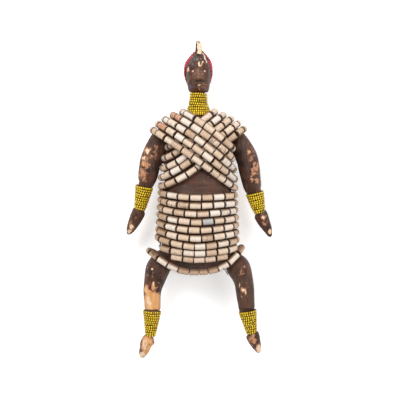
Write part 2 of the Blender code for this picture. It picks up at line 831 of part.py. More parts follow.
def head_strands(material, collection):
    """Two rings of small beads from the foot of the crest round the sides to the nape."""
    radius = SEED_BEAD / 2
    step = (CORNER_REACH * SEED_BEAD + 2 * GAP) / PART

    def lift(foot):
        climb = CROWN_CLIMB * PART * min(max((foot.y - CROWN_FOOT) / 2, 0.0), 1.0)
        return CORNER_REACH * radius + GAP + STAND_OFF + climb

    for k, name in enumerate(("head_strand_front", "head_strand_back")):

        def route(angle, depth=k * step):
            c, s = math.cos(angle), math.sin(angle)
            slope = CROWN_SLOPE if s > 0 else NAPE_SLOPE
            direction = Vector((c, s, -slope * abs(s)))
            origin = Vector((*HEAD_STRAND_MIDDLE, -depth))
            return origin, direction.normalized(), Vector((0, 0, 1))

        line = lay_on_body(HEAD, route, lift)
        mesh = strand(name, line, 2.5 * SEED_BEAD, radius, 0.0, never, never)
        new_object(name, mesh, material, collection)


def centre_on_origin(objects):
    """Moves the doll so that it lies on the ground with the middle of its box over the origin."""
    bpy.context.view_layer.update()
    graph = bpy.context.evaluated_depsgraph_get()
    low = Vector((math.inf,) * 3)
    high = Vector((-math.inf,) * 3)
    for obj in objects:
        shown = obj.evaluated_get(graph)
        for vertex in shown.to_mesh().vertices:
            point = shown.matrix_world @ vertex.co
            low = Vector(map(min, low, point))
            high = Vector(map(max, high, point))
        shown.to_mesh_clear()
    shift = Vector(((low.x + high.x) / 2, (low.y + high.y) / 2, low.z))
    for obj in objects:
        obj.location -= shift


def main():
    for obj in list(bpy.data.objects):
        bpy.data.objects.remove(obj)
    collection = bpy.data.collections.new("namji_doll")
    helpers = bpy.data.collections.new("cutters")
    bpy.context.scene.collection.children.link(collection)
    bpy.context.scene.collection.children.link(helpers)

    wood = new_material("dark_wood", (0.115, 0.062, 0.042), 0.5)
    bead = new_material("pale_bead", (0.66, 0.58, 0.47), 0.55)
    yellow = new_material("yellow_seed_bead", (0.62, 0.45, 0.04), 0.35)
    red = new_material("red_seed_bead", (0.55, 0.03, 0.04), 0.3)
    eye = new_material("pale_eye", (0.75, 0.6, 0.55), 0.35)

    wooden_figure(wood, collection, helpers)
    eye_stud("left_eye_stud", -1, eye, collection)
    eye_stud("right_eye_stud", 1, eye, collection)
    belt_strands(bead, collection)
    shoulder_strands(bead, collection)
    hip_strand(bead, collection)
    cuffs(yellow, collection)
    neck_collar(yellow, collection)
    head_strands(red, collection)
    centre_on_origin([*collection.objects, *helpers.objects])


main()
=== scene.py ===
import math
import random

import bmesh
import bpy
import numpy as np
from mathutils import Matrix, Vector, noise

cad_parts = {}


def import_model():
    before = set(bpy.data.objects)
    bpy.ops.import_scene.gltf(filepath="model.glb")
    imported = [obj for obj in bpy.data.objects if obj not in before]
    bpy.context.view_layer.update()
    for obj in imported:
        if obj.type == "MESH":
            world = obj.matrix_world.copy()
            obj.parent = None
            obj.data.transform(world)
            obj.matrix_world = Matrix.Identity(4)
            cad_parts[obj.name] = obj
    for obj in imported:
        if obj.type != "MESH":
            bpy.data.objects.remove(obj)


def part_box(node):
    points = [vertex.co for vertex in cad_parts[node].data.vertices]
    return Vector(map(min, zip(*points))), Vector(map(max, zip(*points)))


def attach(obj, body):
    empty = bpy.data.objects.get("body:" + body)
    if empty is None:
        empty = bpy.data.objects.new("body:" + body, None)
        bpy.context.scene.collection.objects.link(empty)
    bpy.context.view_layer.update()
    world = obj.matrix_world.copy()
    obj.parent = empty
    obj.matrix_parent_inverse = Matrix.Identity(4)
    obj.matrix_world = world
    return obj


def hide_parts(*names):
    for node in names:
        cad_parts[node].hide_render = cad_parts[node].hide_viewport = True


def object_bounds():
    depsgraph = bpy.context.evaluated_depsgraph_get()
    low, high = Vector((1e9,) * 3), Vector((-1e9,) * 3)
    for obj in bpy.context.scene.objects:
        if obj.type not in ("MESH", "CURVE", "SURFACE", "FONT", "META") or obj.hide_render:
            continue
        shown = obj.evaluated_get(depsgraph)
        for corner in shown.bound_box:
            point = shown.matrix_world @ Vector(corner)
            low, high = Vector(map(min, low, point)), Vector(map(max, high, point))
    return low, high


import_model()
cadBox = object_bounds()
print("frame loaded")

# the doll lies on its back: +Z out of its face, +Y to the head, +X to the viewer's right
# its own sizes are in parts, 319 of them from the feet to the tip of the crest
dollLength, partsLong = 0.325, 319.0
part = dollLength / partsLong
fullTurn = 2 * math.pi
threadR = 0.0005

trunkRows = (  # distance from the feet, middle, half width, front, back, squareness
    (86.0, -1.0, 18.0, 5.0, 6.0, 2.2),
    (90.5, -1.0, 28.0, 9.5, 11.0, 2.3),
    (97.0, -1.0, 32.0, 15.0, 17.0, 2.4),
    (105.0, -1.0, 34.0, 20.5, 22.5, 2.4),
    (114.0, -1.2, 35.2, 25.3, 26.0, 2.4),
    (123.0, -1.3, 35.0, 27.4, 27.5, 2.4),
    (145.0, -0.8, 33.6, 27.6, 27.5, 2.4),
    (165.0, -0.4, 32.6, 27.0, 27.5, 2.4),
    (180.0, -0.3, 32.3, 25.0, 22.85, 2.4),
    (192.0, -0.2, 29.8, 22.5, 19.75, 2.4),
    (203.0, 0.0, 27.4, 21.0, 19.75, 2.4),
    (211.0, 0.0, 26.2, 20.0, 20.05, 2.3),
    (216.5, 0.0, 28.0, 19.0, 19.15, 2.3),
    (221.0, 0.0, 37.0, 18.0, 17.25, 2.3),
    (226.5, 0.0, 42.2, 17.0, 16.5, 2.3),
    (232.5, 0.0, 37.5, 15.8, 15.0, 2.3),
    (237.0, 0.0, 30.5, 14.2, 13.4, 2.2),
    (241.0, 0.0, 22.0, 12.6, 12.0, 2.1),
    (245.0, 0.0, 12.5, 10.4, 10.2, 2.0),
    (251.0, 0.0, 9.2, 9.0, 9.0, 2.0),
    (258.0, 0.0, 7.2, 7.2, 7.2, 2.0),
    (270.0, 0.0, 6.3, 6.3, 6.3, 2.0),
)
headRows = (
    (267.6, 0.3, 8.6, 8.5, 8.0, 2.4),
    (269.3, 0.3, 9.5, 11.3, 8.6, 2.6),
    (270.8, 0.3, 9.9, 12.6, 9.4, 2.7),
    (273.0, 0.3, 10.3, 12.9, 10.6, 2.6),
    (275.0, 0.2, 10.6, 13.0, 11.3, 2.5),
    (277.0, 0.2, 10.9, 13.0, 12.2, 2.4),
    (279.0, 0.1, 11.1, 13.0, 12.6, 2.3),
    (281.0, 0.0, 11.3, 13.0, 13.0, 2.2),
    (284.0, 0.0, 11.6, 13.0, 13.3, 2.2),
    (287.5, 0.0, 11.8, 12.8, 13.5, 2.1),
    (292.0, 0.0, 11.2, 12.5, 13.2, 2.1),
    (296.5, 0.2, 9.6, 11.6, 12.0, 2.1),
    (300.5, 0.4, 7.4, 10.0, 10.0, 2.1),
    (304.0, 0.6, 5.6, 7.6, 7.2, 2.1),
    (307.0, 0.6, 4.2, 5.6, 4.8, 2.1),
    (309.5, 0.5, 2.9, 3.6, 3.0, 2.1),
)
limbs = {  # sideways, distance from the feet, height, radius
    "leftArm": (
        (-29.0, 226.5, 0.5, 7.0), (-38.3, 222.0, 0.5, 7.4), (-43.7, 212.0, 0.5, 8.8),
        (-46.8, 202.5, 0.3, 9.9), (-48.5, 194.0, 0.0, 10.1), (-50.9, 183.0, -0.5, 9.2),
        (-52.4, 176.8, -1.2, 7.8), (-54.1, 173.4, -1.5, 6.1), (-56.4, 161.6, -3.0, 5.3),
        (-58.8, 149.8, -4.6, 3.3), (-59.2, 148.6, -5.0, 6.4), (-62.9, 141.4, -6.4, 6.1),
        (-67.6, 131.5, -8.6, 4.3), (-71.0, 125.4, -10.4, 1.8),
    ),
    "rightArm": (
        (29.0, 226.5, 0.5, 7.0), (39.0, 222.3, 0.5, 7.6), (44.9, 212.0, 0.5, 9.3),
        (48.1, 203.0, 0.3, 10.3), (50.4, 193.5, 0.0, 10.4), (52.6, 183.2, -0.5, 9.6),
        (54.6, 171.6, -1.2, 8.1), (56.4, 167.2, -1.5, 6.3), (59.0, 156.9, -3.0, 5.4),
        (61.7, 146.5, -4.6, 3.4), (62.2, 145.8, -5.0, 6.5), (65.3, 138.6, -6.4, 6.0),
        (69.5, 130.5, -8.6, 4.4), (73.0, 123.0, -10.4, 1.8),
    ),
    "leftLeg": (
        (-28.5, 106.0, 0.0, 8.0), (-35.2, 99.5, 0.0, 10.2), (-39.7, 91.5, 0.0, 11.9),
        (-43.6, 79.0, -0.4, 10.3), (-45.8, 67.5, -0.8, 8.7), (-46.2, 57.0, -1.4, 8.0),
        (-46.2, 50.6, -1.8, 7.8), (-46.3, 48.8, -2.0, 6.4), (-47.2, 35.6, -3.4, 4.9),
        (-48.2, 22.4, -4.8, 2.9), (-49.2, 19.8, -5.2, 6.5), (-52.0, 15.8, -6.2, 6.0),
        (-54.4, 9.0, -7.8, 4.8), (-56.2, 4.2, -9.0, 3.6), (-56.5, 0.7, -10.0, 1.5),
    ),
    "rightLeg": (
        (25.0, 106.0, 0.0, 7.5), (33.0, 99.4, 0.0, 9.4), (38.9, 93.0, 0.0, 11.7),
        (44.4, 80.0, -0.4, 10.0), (47.1, 67.0, -0.8, 8.8), (48.1, 56.5, -1.4, 8.0),
        (48.7, 50.6, -1.8, 7.7), (49.2, 48.8, -2.0, 6.2), (51.4, 37.2, -3.4, 5.0),
        (53.6, 25.6, -4.8, 3.0), (54.2, 24.4, -5.2, 6.3), (56.6, 17.5, -6.4, 5.4),
        (59.4, 10.9, -8.0, 3.8), (61.0, 5.8, -9.0, 1.5),
    ),
}
armRoots = {  # extra wood at the inner sides of the arms
    "left": (
        (-35.4, 219.0, 0.0, 7.2), (-39.6, 209.0, 0.0, 7.8), (-41.8, 200.5, -0.3, 7.4), (-44.4, 192.0, -0.3, 5.4),
    ),
    "right": (
        (36.5, 219.0, 0.0, 7.0), (41.5, 209.0, 0.0, 7.4), (44.5, 200.0, -0.3, 6.8), (48.0, 191.0, -0.3, 5.4),
    ),
}
waistFill = {  # the wood stands a little fuller under the straps
    "low": 150.0, "high": 205.0, "out": 1.3, "ribsLow": 190.0, "ribsHigh": 213.0, "ribsOut": 3.2,
}
headFill = 1.045  # the head beside the CAD's, in width
crestRows = (  # laid out as the limbs are
    (0.5, 300.0, 1.4, 4.4), (0.5, 302.0, 2.6, 3.7), (0.4, 307.0, 2.4, 3.4), (0.4, 312.0, 2.0, 3.1),
    (0.3, 315.6, 1.7, 2.7), (0.2, 317.8, 1.6, 2.1), (0.2, 319.4, 1.5, 1.2),
)


def stationAt(rows, along):  # the row at each distance from the feet, on a smooth curve
    t = np.asarray(rows, float)
    along = np.atleast_1d(np.asarray(along, float))
    last = len(t) - 1
    k = np.clip(np.searchsorted(t[1:, 0], along, side="left"), 0, last - 1)
    low, high = t[k], t[k + 1]
    before, after = t[np.maximum(k - 1, 0)], t[np.minimum(k + 2, last)]
    span = (high[:, 0] - low[:, 0])[:, None]
    u = np.clip((along[:, None] - low[:, :1]) / span, 0, 1)
    riseLow = span * (high - before) / (high[:, :1] - before[:, :1])
    riseHigh = span * (after - low) / (after[:, :1] - low[:, :1])
    row = (1 + 2 * u) * (1 - u) ** 2 * low + u * (1 - u) ** 2 * riseLow
    row += u ** 2 * (3 - 2 * u) * high - u ** 2 * (1 - u) * riseHigh
    return row[:, 1:]


def excess(rows, p):  # below zero inside the body
    row = stationAt(rows, p[:, 1])
    depth = np.where(p[:, 2] > 0, row[:, 2], row[:, 3])
    across = np.abs(p[:, 0] - row[:, 0]) / row[:, 1]
    return across ** row[:, 4] + (np.abs(p[:, 2]) / depth) ** row[:, 4] - 1


rayFar, rayHalvings, slopeStep = 80.0, 36, 0.05  # in parts; how the body's surface is found


def surfacePoint(rows, origin, direction):
    inside, outside = np.zeros(len(direction)), np.full(len(direction), rayFar)
    for _ in range(rayHalvings):
        reach = (inside + outside) / 2
        within = excess(rows, origin + direction * reach[:, None]) < 0
        inside, outside = np.where(within, reach, inside), np.where(within, outside, reach)
    return origin + direction * inside[:, None]


def unit(v):
    return v / np.maximum(np.linalg.norm(v, axis=-1, keepdims=True), 1e-12)


def outward(rows, p):
    slopes = [excess(rows, p + axis) - excess(rows, p - axis) for axis in np.eye(3) * slopeStep]
    return unit(np.stack(slopes, 1))


def place(p):  # parts to metres, before the doll is centred on the ground
    return (np.asarray(p, float) - np.array([0, partsLong / 2, 0])) * part


# the CAD's left eye shows where the doll lies sideways and lengthwise
faceMiddle, eyeSpread, eyeLevel = 0.4, 5.6, 287.5
leftEye = np.array([[faceMiddle - eyeSpread, eyeLevel, 0.0]])
eyeAt = place(surfacePoint(headRows, leftEye, np.array([[0.0, 0.0, 1.0]]))[0])
studMiddle = sum(np.array(corner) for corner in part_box("left_eye_stud")) / 2
shift = eyeAt - studMiddle


def bump(distance, halfWidth):
    share = np.clip(np.abs(distance) / halfWidth, 0, 1)
    return (1 + np.cos(np.pi * share)) / 2


beadCad = {"diameter": 0.0070, "corner": 1.08, "sides": 5, "gap": 0.0003, "standOff": 0.00065, "press": 0.0005}
cadRadius = beadCad["corner"] * beadCad["diameter"] / 2
cadLift = cadRadius + beadCad["gap"] + beadCad["standOff"]
# the CAD presses the lowest beads flat: its floor is this far under the body's axis
bodyBack = 27.5 * part
shift[2] = -(bodyBack + cadLift - beadCad["press"] + cadRadius * math.cos(math.pi / beadCad["sides"]))


def world(p):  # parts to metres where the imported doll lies
    return place(p) - shift


def toParts(co):
    return (co + shift) / part + np.array([0, partsLong / 2, 0])


camera = {
    "height": 1.5,  # over the plane in which the width is measured
    "plane": 0.038,
    "width": 0.4075,
    "middle": world([1.7, 159.5, 0.0])[:2],
    "pixels": 400,
}


def seen(px, py, z=camera["plane"]):  # a place in the photograph to metres, at a height over the floor
    c = camera
    scale = c["width"] / c["pixels"] * (c["height"] + c["plane"] - z) / c["height"]
    return c["middle"][0] + (px - c["pixels"] / 2) * scale, c["middle"][1] - (py - c["pixels"] / 2) * scale


def seenX(px, z=camera["plane"]):
    return seen(px, 0, z)[0]


def newObject(name, mesh, materials):
    obj = bpy.data.objects.new(name, mesh)
    bpy.context.scene.collection.objects.link(obj)
    for material in materials:
        obj.data.materials.append(material)
    return obj


def meshFrom(name, verts, faces, smooth=True):
    mesh = bpy.data.meshes.new(name)
    mesh.from_pydata([tuple(v) for v in verts], [], faces)
    mesh.validate()
    if smooth:
        mesh.shade_smooth()
    return mesh


def ringFaces(rings, sides, start=0, closed=False):
    faces = []
    count = rings if closed else rings - 1
    for r in range(count):
        a, b = start + r * sides, start + (r + 1) % rings * sides
        for k in range(sides):
            n = (k + 1) % sides
            faces.append((a + k, a + n, b + n, b + k))
    return faces


def loftMesh(rings):
    sides, last = len(rings[0]), len(rings) - 1
    faces = ringFaces(len(rings), sides)
    faces.append(tuple(range(sides - 1, -1, -1)))
    faces.append(tuple(range(last * sides, (last + 1) * sides)))
    return np.concatenate(rings), faces


def aroundRing(sides):
    return np.linspace(0, fullTurn, sides, endpoint=False)


def squared(wave, power):  # rounds a circle's sine or cosine off towards a square
    return np.sign(wave) * np.abs(wave) ** power


def bodyLoft(rows, step, sides):
    rings = []
    turn = aroundRing(sides)
    c, s = np.cos(turn), np.sin(turn)
    for level in np.arange(rows[0][0], rows[-1][0], step).tolist() + [rows[-1][0]]:
        middle, half, front, back, square = stationAt(rows, level)[0]
        x = middle + half * squared(c, 2 / square)
        z = np.where(s > 0, front, back) * squared(s, 2 / square)
        rings.append(np.stack([x, np.full(sides, level), z], 1))
    return loftMesh(rings)


def smoothPath(points, steps):  # rounds a table of points with a Catmull-Rom curve
    p = np.asarray(points, float)
    out = []
    for k in range(len(p) - 1):
        a, b, c, d = p[max(k - 1, 0)], p[k], p[k + 1], p[min(k + 2, len(p) - 1)]
        for u in np.arange(steps) / steps:
            out.append(0.5 * (2 * b + (c - a) * u + (2 * a - 5 * b + 4 * c - d) * u * u
                              + (3 * b - a - 3 * c + d) * u ** 3))
    out.append(p[-1])
    return np.array(out)


def limbLoft(rows, steps, sides, thinnest=0.3):
    p = smoothPath(rows, steps)
    tangent = unit(np.gradient(p[:, :3], axis=0))
    side = unit(np.cross(tangent, np.array([0, 0, 1.0])))
    out = unit(np.cross(side, tangent))
    turn = aroundRing(sides)
    c, s = np.cos(turn)[:, None], np.sin(turn)[:, None]
    return loftMesh([p[k, :3] + max(p[k, 3], thinnest) * (c * side[k] + s * out[k]) for k in range(len(p))])


def joined(parts):
    verts, faces, n = [], [], 0
    for v, f in parts:
        verts.append(v)
        faces += [tuple(i + n for i in face) for face in f]
        n += len(v)
    return np.concatenate(verts), faces


def fused(name, parts, voxel, rounds):  # one skin over several closed forms, softened at the joins
    verts, faces = joined(parts)
    obj = newObject(name, meshFrom(name, world(verts), faces), [])
    remesh = obj.modifiers.new("fuse", "REMESH")
    remesh.mode = "VOXEL"
    remesh.voxel_size = voxel
    soften = obj.modifiers.new("soften", "SMOOTH")
    soften.factor = 0.5
    soften.iterations = rounds
    graph = bpy.context.evaluated_depsgraph_get()
    mesh = bpy.data.meshes.new_from_object(obj.evaluated_get(graph))
    bpy.data.objects.remove(obj)
    return mesh


def readMesh(mesh, what):  # "co" or "normal" of every vertex
    values = np.zeros(len(mesh.vertices) * 3)
    mesh.vertices.foreach_get(what, values)
    return values.reshape(-1, 3)


def rough(points, scale, seed):  # soft noise from -1 to 1
    offset = Vector((seed, seed * 1.7, -seed))
    return np.array([noise.noise(Vector(p) * scale + offset) for p in points])


def addColour(mesh, name, rows):
    layer = mesh.color_attributes.new(name, "FLOAT_COLOR", "POINT")
    layer.data.foreach_set("color", np.asarray(rows, np.float32).reshape(-1))


class Nodes:  # one material and short names for its nodes
    def __init__(self, name):
        self.material = bpy.data.materials.new(name)
        self.material.use_nodes = True
        self.tree = self.material.node_tree
        self.shader = self.tree.nodes["Principled BSDF"]
        self.coords = self.tree.nodes.new("ShaderNodeTexCoord")

    def feed(self, socket, value):  # a link where the value is a node's output, else the plain value
        if hasattr(value, "is_output"):
            self.tree.links.new(value, socket)
        elif socket.type == "RGBA":
            socket.default_value = (*value, 1)
        else:
            socket.default_value = value

    def add(self, kind, **inputs):
        node = self.tree.nodes.new("ShaderNode" + kind)
        names = [s.name.replace(" ", "") for s in node.inputs]
        for key, value in inputs.items():
            self.feed(node.inputs[names.index(key)], value)
        return node

    def set(self, key, value):
        self.feed(self.shader.inputs[key], value)

    def noise(self, scale, detail, roughness, stretch=None, vector=None):
        vector = vector or self.coords.outputs["Object"]
        if stretch:
            vector = self.add("Mapping", Vector=vector, Scale=stretch).outputs[0]
        node = self.add("TexNoise", Vector=vector, Scale=scale, Detail=detail, Roughness=roughness)
        return node.outputs["Fac"]

    def turned(self, share, scale, detail, roughness, thin):  # grain along the limbs, across the trunk
        along = self.noise(scale, detail, roughness, stretch=(1.0, thin, 1.0))
        across = self.noise(scale, detail, roughness, stretch=(thin, 1.0, 1.0))
        node = self.add("Mix")
        for k, value in ((0, share), (2, along), (3, across)):
            self.feed(node.inputs[k], value)
        return node.outputs[0]

    def ramp(self, value, low, high, start=0.0, end=1.0):
        node = self.add("MapRange", Value=value, FromMin=low, FromMax=high, ToMin=start, ToMax=end)
        return node.outputs[0]

    def math(self, kind, a, b):
        node = self.add("Math")
        node.operation = kind
        self.feed(node.inputs[0], a)
        self.feed(node.inputs[1], b)
        return node.outputs[0]

    def ragged(self, mask, noise, reach):  # frays the edge of a mask
        return self.math("ADD", mask, self.ramp(noise, 0.3, 0.7, -reach, reach))

    def mix(self, share, a, b):
        node = self.add("Mix")
        node.data_type = "RGBA"
        for k, value in ((0, share), (6, a), (7, b)):
            self.feed(node.inputs[k], value)
        return node.outputs[2]

    def over(self, base, mask, low, high, share, colour):  # a colour over the base where the mask is high
        return self.mix(self.math("MULTIPLY", self.ramp(mask, low, high), share), base, colour)

    def bumps(self, *layers):
        normal = None
        for height, depth in layers:
            node = self.add("Bump", Height=height, Strength=1.0, Distance=depth)
            if normal:
                self.feed(node.inputs["Normal"], normal)
            normal = node.outputs[0]
        self.set("Normal", normal)

    def stored(self, name):  # what a mesh keeps at each point
        node = self.add("Attribute")
        node.attribute_name = name
        return node.outputs

    def attribute(self, name):
        kept = self.stored(name)
        return [*self.add("SeparateColor", Color=kept["Color"]).outputs, kept["Alpha"]]


wood = {
    "dark": (0.022, 0.010, 0.007),
    "brown": (0.094, 0.038, 0.020),
    "red": (0.120, 0.030, 0.015),
    "grey": (0.118, 0.061, 0.039),
    "bare": (0.62, 0.27, 0.085),
    "sand": (0.80, 0.46, 0.21),
    "rust": (0.36, 0.135, 0.045),
    "rubbed": (0.50, 0.235, 0.125),
    "cream": (0.86, 0.62, 0.42),
    "crack": (0.018, 0.009, 0.006),
    "noises": {  # scale, detail, roughness
        "cloudy": (38, 5, 0.6), "patches": (60, 3, 0.5), "ragged": (420, 5, 0.7), "torn": (230, 6, 0.75),
        "rubbing": (240, 4, 0.6),
    },
    "grains": {  # the same and how thin the grain is drawn
        "streak": (150, 6, 0.65, 0.16), "fine": (900, 4, 0.6, 0.10), "lengthwise": (330, 5, 0.6, 0.12),
    },
    "stains": (  # mask, from, to, strength, colour
        ("streak", 0.45, 0.62, 0.75, "grey"), ("patches", 0.50, 0.68, 0.6, "red"),
        ("fine", 0.52, 0.68, 0.55, "dark"),
    ),
    # how strongly the paint traces, and the painted highlights and painted shade on the face, show
    "paint": 0.9,
    "roughness": (0.36, 0.62),
    "gloss": 0.27,
    "bumps": {"streak": 0.0010, "fine": 0.0004, "ragged": 0.0003},
}


def woodMaterial():
    n, w = Nodes("carved_wood"), wood
    wear, cream, dark, trunk = n.attribute("wornWood")
    masks = {name: n.noise(*facts) for name, facts in w["noises"].items()}
    masks.update({name: n.turned(trunk, *facts) for name, facts in w["grains"].items()})
    base = n.mix(n.ramp(masks["cloudy"], 0.36, 0.64), w["dark"], w["brown"])
    for mask, low, high, share, colour in w["stains"]:
        base = n.over(base, masks[mask], low, high, share, w[colour])
    bare = n.mix(n.ramp(masks["streak"], 0.35, 0.65), w["bare"], w["sand"])
    bare = n.over(bare, masks["lengthwise"], 0.54, 0.68, 0.7, w["rust"])
    bare = n.mix(n.ramp(wear, 0.62, 0.95), w["rubbed"], bare)
    base = n.mix(n.ramp(n.ragged(wear, masks["torn"], 0.45), 0.42, 0.62), base, bare)
    base = n.mix(n.ramp(n.ragged(cream, masks["ragged"], 0.42), 0.45, 0.62), base, w["cream"])
    base = n.over(base, n.ragged(dark, masks["ragged"], 0.25), 0.35, 0.75, 0.85, w["crack"])
    # old paint traces, and painted highlights and painted shade on the face
    traces = n.stored("paintAndLightTraces")
    paintAndLightMask = n.ragged(traces["Alpha"], masks["ragged"], 0.3)
    base = n.mix(n.ramp(paintAndLightMask, 0.35, 0.65, 0.0, w["paint"]), base, traces["Color"])
    n.set("Base Color", base)
    n.set("Roughness", n.ramp(masks["rubbing"], 0.3, 0.7, *w["roughness"]))
    n.set("Specular IOR Level", w["gloss"])
    n.bumps(*((masks[name], depth) for name, depth in w["bumps"].items()))
    return n.material


bead = {
    "white": (0.80, 0.715, 0.63),
    "cream": (0.70, 0.525, 0.38),
    "tan": (0.45, 0.29, 0.18),
    "streak": (0.38, 0.21, 0.11),
    # the side colour is painted shade on the beads' sides where they face their neighbours, and on the edges
    # towards the head of some beads
    "side": (0.195, 0.105, 0.056),
    "grime": (0.040, 0.017, 0.009),
    "stain": (0.110, 0.050, 0.026),
    "orange": (0.50, 0.17, 0.055),
    "slate": (0.33, 0.35, 0.37),
    "noises": {  # scale, detail, roughness, and how it is drawn out along the bead
        "mottle": (1.3, 4, 0.6), "streak": (2.6, 5, 0.7, (0.28, 1.0, 1.0)), "pits": (7.0, 5, 0.7),
        "blotch": (0.8, 5, 0.7), "patchy": (0.9, 5, 0.7), "smear": (0.62, 6, 0.7),
    },
    "roughness": (0.45, 0.70),
    "gloss": 0.4,
    "bumps": {"streak": 0.00030, "pits": 0.00012},
}


def beadMaterial():
    n, b = Nodes("pale_beads"), bead
    tone, end, stain, kind = n.attribute("beadTone")
    where = n.stored("beadSpot")["Vector"]
    masks = {name: n.noise(*facts, vector=where) for name, facts in b["noises"].items()}
    shade = n.ragged(tone, masks["mottle"], 0.28)
    base = n.mix(n.ramp(shade, 0.05, 0.5), b["white"], b["cream"])
    base = n.mix(n.ramp(shade, 0.5, 1.05), base, b["tan"])
    base = n.over(base, masks["streak"], 0.55, 0.70, 0.65, b["streak"])
    base = n.over(base, masks["blotch"], 0.60, 0.72, 0.6, b["streak"])
    orange = n.ramp(kind, 0.55, 0.60)
    base = n.mix(n.math("MULTIPLY", orange, n.ramp(masks["patchy"], 0.42, 0.60, 1.0, 0.12)), base, b["orange"])
    slate = n.math("SUBTRACT", n.ramp(kind, 0.20, 0.25), orange)
    base = n.mix(n.math("MULTIPLY", slate, 0.7), base, b["slate"])
    # painted shade on the sides of the beads facing their neighbours and on the edges towards the head of some
    # beads
    paintedShadeMask = n.ragged(n.attribute("beadPaintedShade")[0], masks["streak"], 0.22)
    base = n.over(base, paintedShadeMask, 0.11, 0.70, 0.93, b["side"])
    base = n.over(base, n.ragged(end, masks["pits"], 0.03), 0.965, 1.0, 0.92, b["grime"])
    base = n.over(base, masks["pits"], 0.66, 0.74, 0.35, b["streak"])
    base = n.mix(n.math("MULTIPLY", stain, n.ramp(masks["smear"], 0.50, 0.60)), base, b["stain"])
    n.set("Base Color", base)
    n.set("Roughness", n.ramp(masks["mottle"], 0.3, 0.7, *b["roughness"]))
    n.set("Specular IOR Level", b["gloss"])
    n.bumps(*((masks[name], depth) for name, depth in b["bumps"].items()))
    return n.material


thread = {"dark": (0.020, 0.012, 0.009), "light": (0.085, 0.052, 0.036), "twist": (900, 3, 0.5), "bump": 0.0004}


def threadMaterial():
    n = Nodes("dark_thread")
    twist = n.noise(*thread["twist"], stretch=(1.0, 1.0, 3.0))
    n.set("Base Color", n.mix(n.ramp(twist, 0.4, 0.6), thread["dark"], thread["light"]))
    n.set("Roughness", n.ramp(twist, 0.3, 0.7, 0.75, 0.95))
    n.bumps((twist, thread["bump"]))
    return n.material


yellow = {
    "light": (1.0, 0.72, 0.020), "deep": (0.82, 0.50, 0.007), "stained": (0.52, 0.23, 0.015),
    # the gap colour is painted shade between neighbouring seed beads
    "stray": (0.36, 0.27, 0.020), "gap": (0.060, 0.036, 0.003),
}
red = {
    "light": (0.80, 0.060, 0.110), "deep": (0.40, 0.015, 0.035), "stained": (0.62, 0.20, 0.19),
    # the gap colour is painted shade between neighbouring seed beads
    "stray": (0.10, 0.006, 0.012), "gap": (0.08, 0.004, 0.008),
}
glassBead = {"patches": (700, 4, 0.6), "roughness": (0.20, 0.42), "gloss": 0.42, "bump": 0.00012}


def seedMaterial(name, colours):
    n = Nodes(name)
    tone, end, stain, kind = n.attribute("beadTone")
    patchy = n.noise(*glassBead["patches"])
    side = n.attribute("beadPaintedShade")[0]
    base = n.mix(tone, colours["light"], colours["deep"])
    base = n.over(base, stain, 0.2, 0.9, 0.85, colours["stained"])
    base = n.over(base, kind, 0.5, 1.0, 0.85, colours["stray"])
    base = n.over(base, patchy, 0.50, 0.66, 0.35, colours["deep"])
    # painted shade on the sides and ends of the seed beads, where they face their neighbours
    base = n.over(base, side, 0.24, 0.75, 0.92, colours["gap"])
    base = n.over(base, end, 0.55, 0.98, 0.9, colours["gap"])
    n.set("Base Color", base)
    n.set("Roughness", n.ramp(patchy, 0.3, 0.7, *glassBead["roughness"]))
    n.set("Specular IOR Level", glassBead["gloss"])
    n.bumps((patchy, glassBead["bump"]))
    return n.material


eye = {
    "pale": (0.64, 0.45, 0.41), "dull": (0.42, 0.26, 0.23), "bright": (0.78, 0.68, 0.64),
    "mottle": (1500, 4, 0.6), "rim": (500, 3, 0.5), "roughness": (0.28, 0.5), "bump": 0.0002,
    "fill": 0.99,  # of the CAD's stud
    "flat": 0.92, "sunk": 0.00022, "sunkReach": 0.5, "wornDeep": 0.00005, "wornScale": 1600,
}


def eyeMaterial():
    n = Nodes("pale_eye_shell")
    mottle = n.noise(*eye["mottle"])
    base = n.mix(n.ramp(mottle, 0.4, 0.62), eye["pale"], eye["dull"])
    base = n.over(base, n.noise(*eye["rim"]), 0.52, 0.66, 0.5, eye["bright"])
    n.set("Base Color", base)
    n.set("Roughness", n.ramp(mottle, 0.3, 0.7, *eye["roughness"]))
    n.bumps((mottle, eye["bump"]))
    return n.material


carvedWood, paleBeads, darkThread, eyeShell = woodMaterial(), beadMaterial(), threadMaterial(), eyeMaterial()
yellowSeeds, redSeeds = seedMaterial("yellow_seed_beads", yellow), seedMaterial("red_seed_beads", red)
print("materials made")

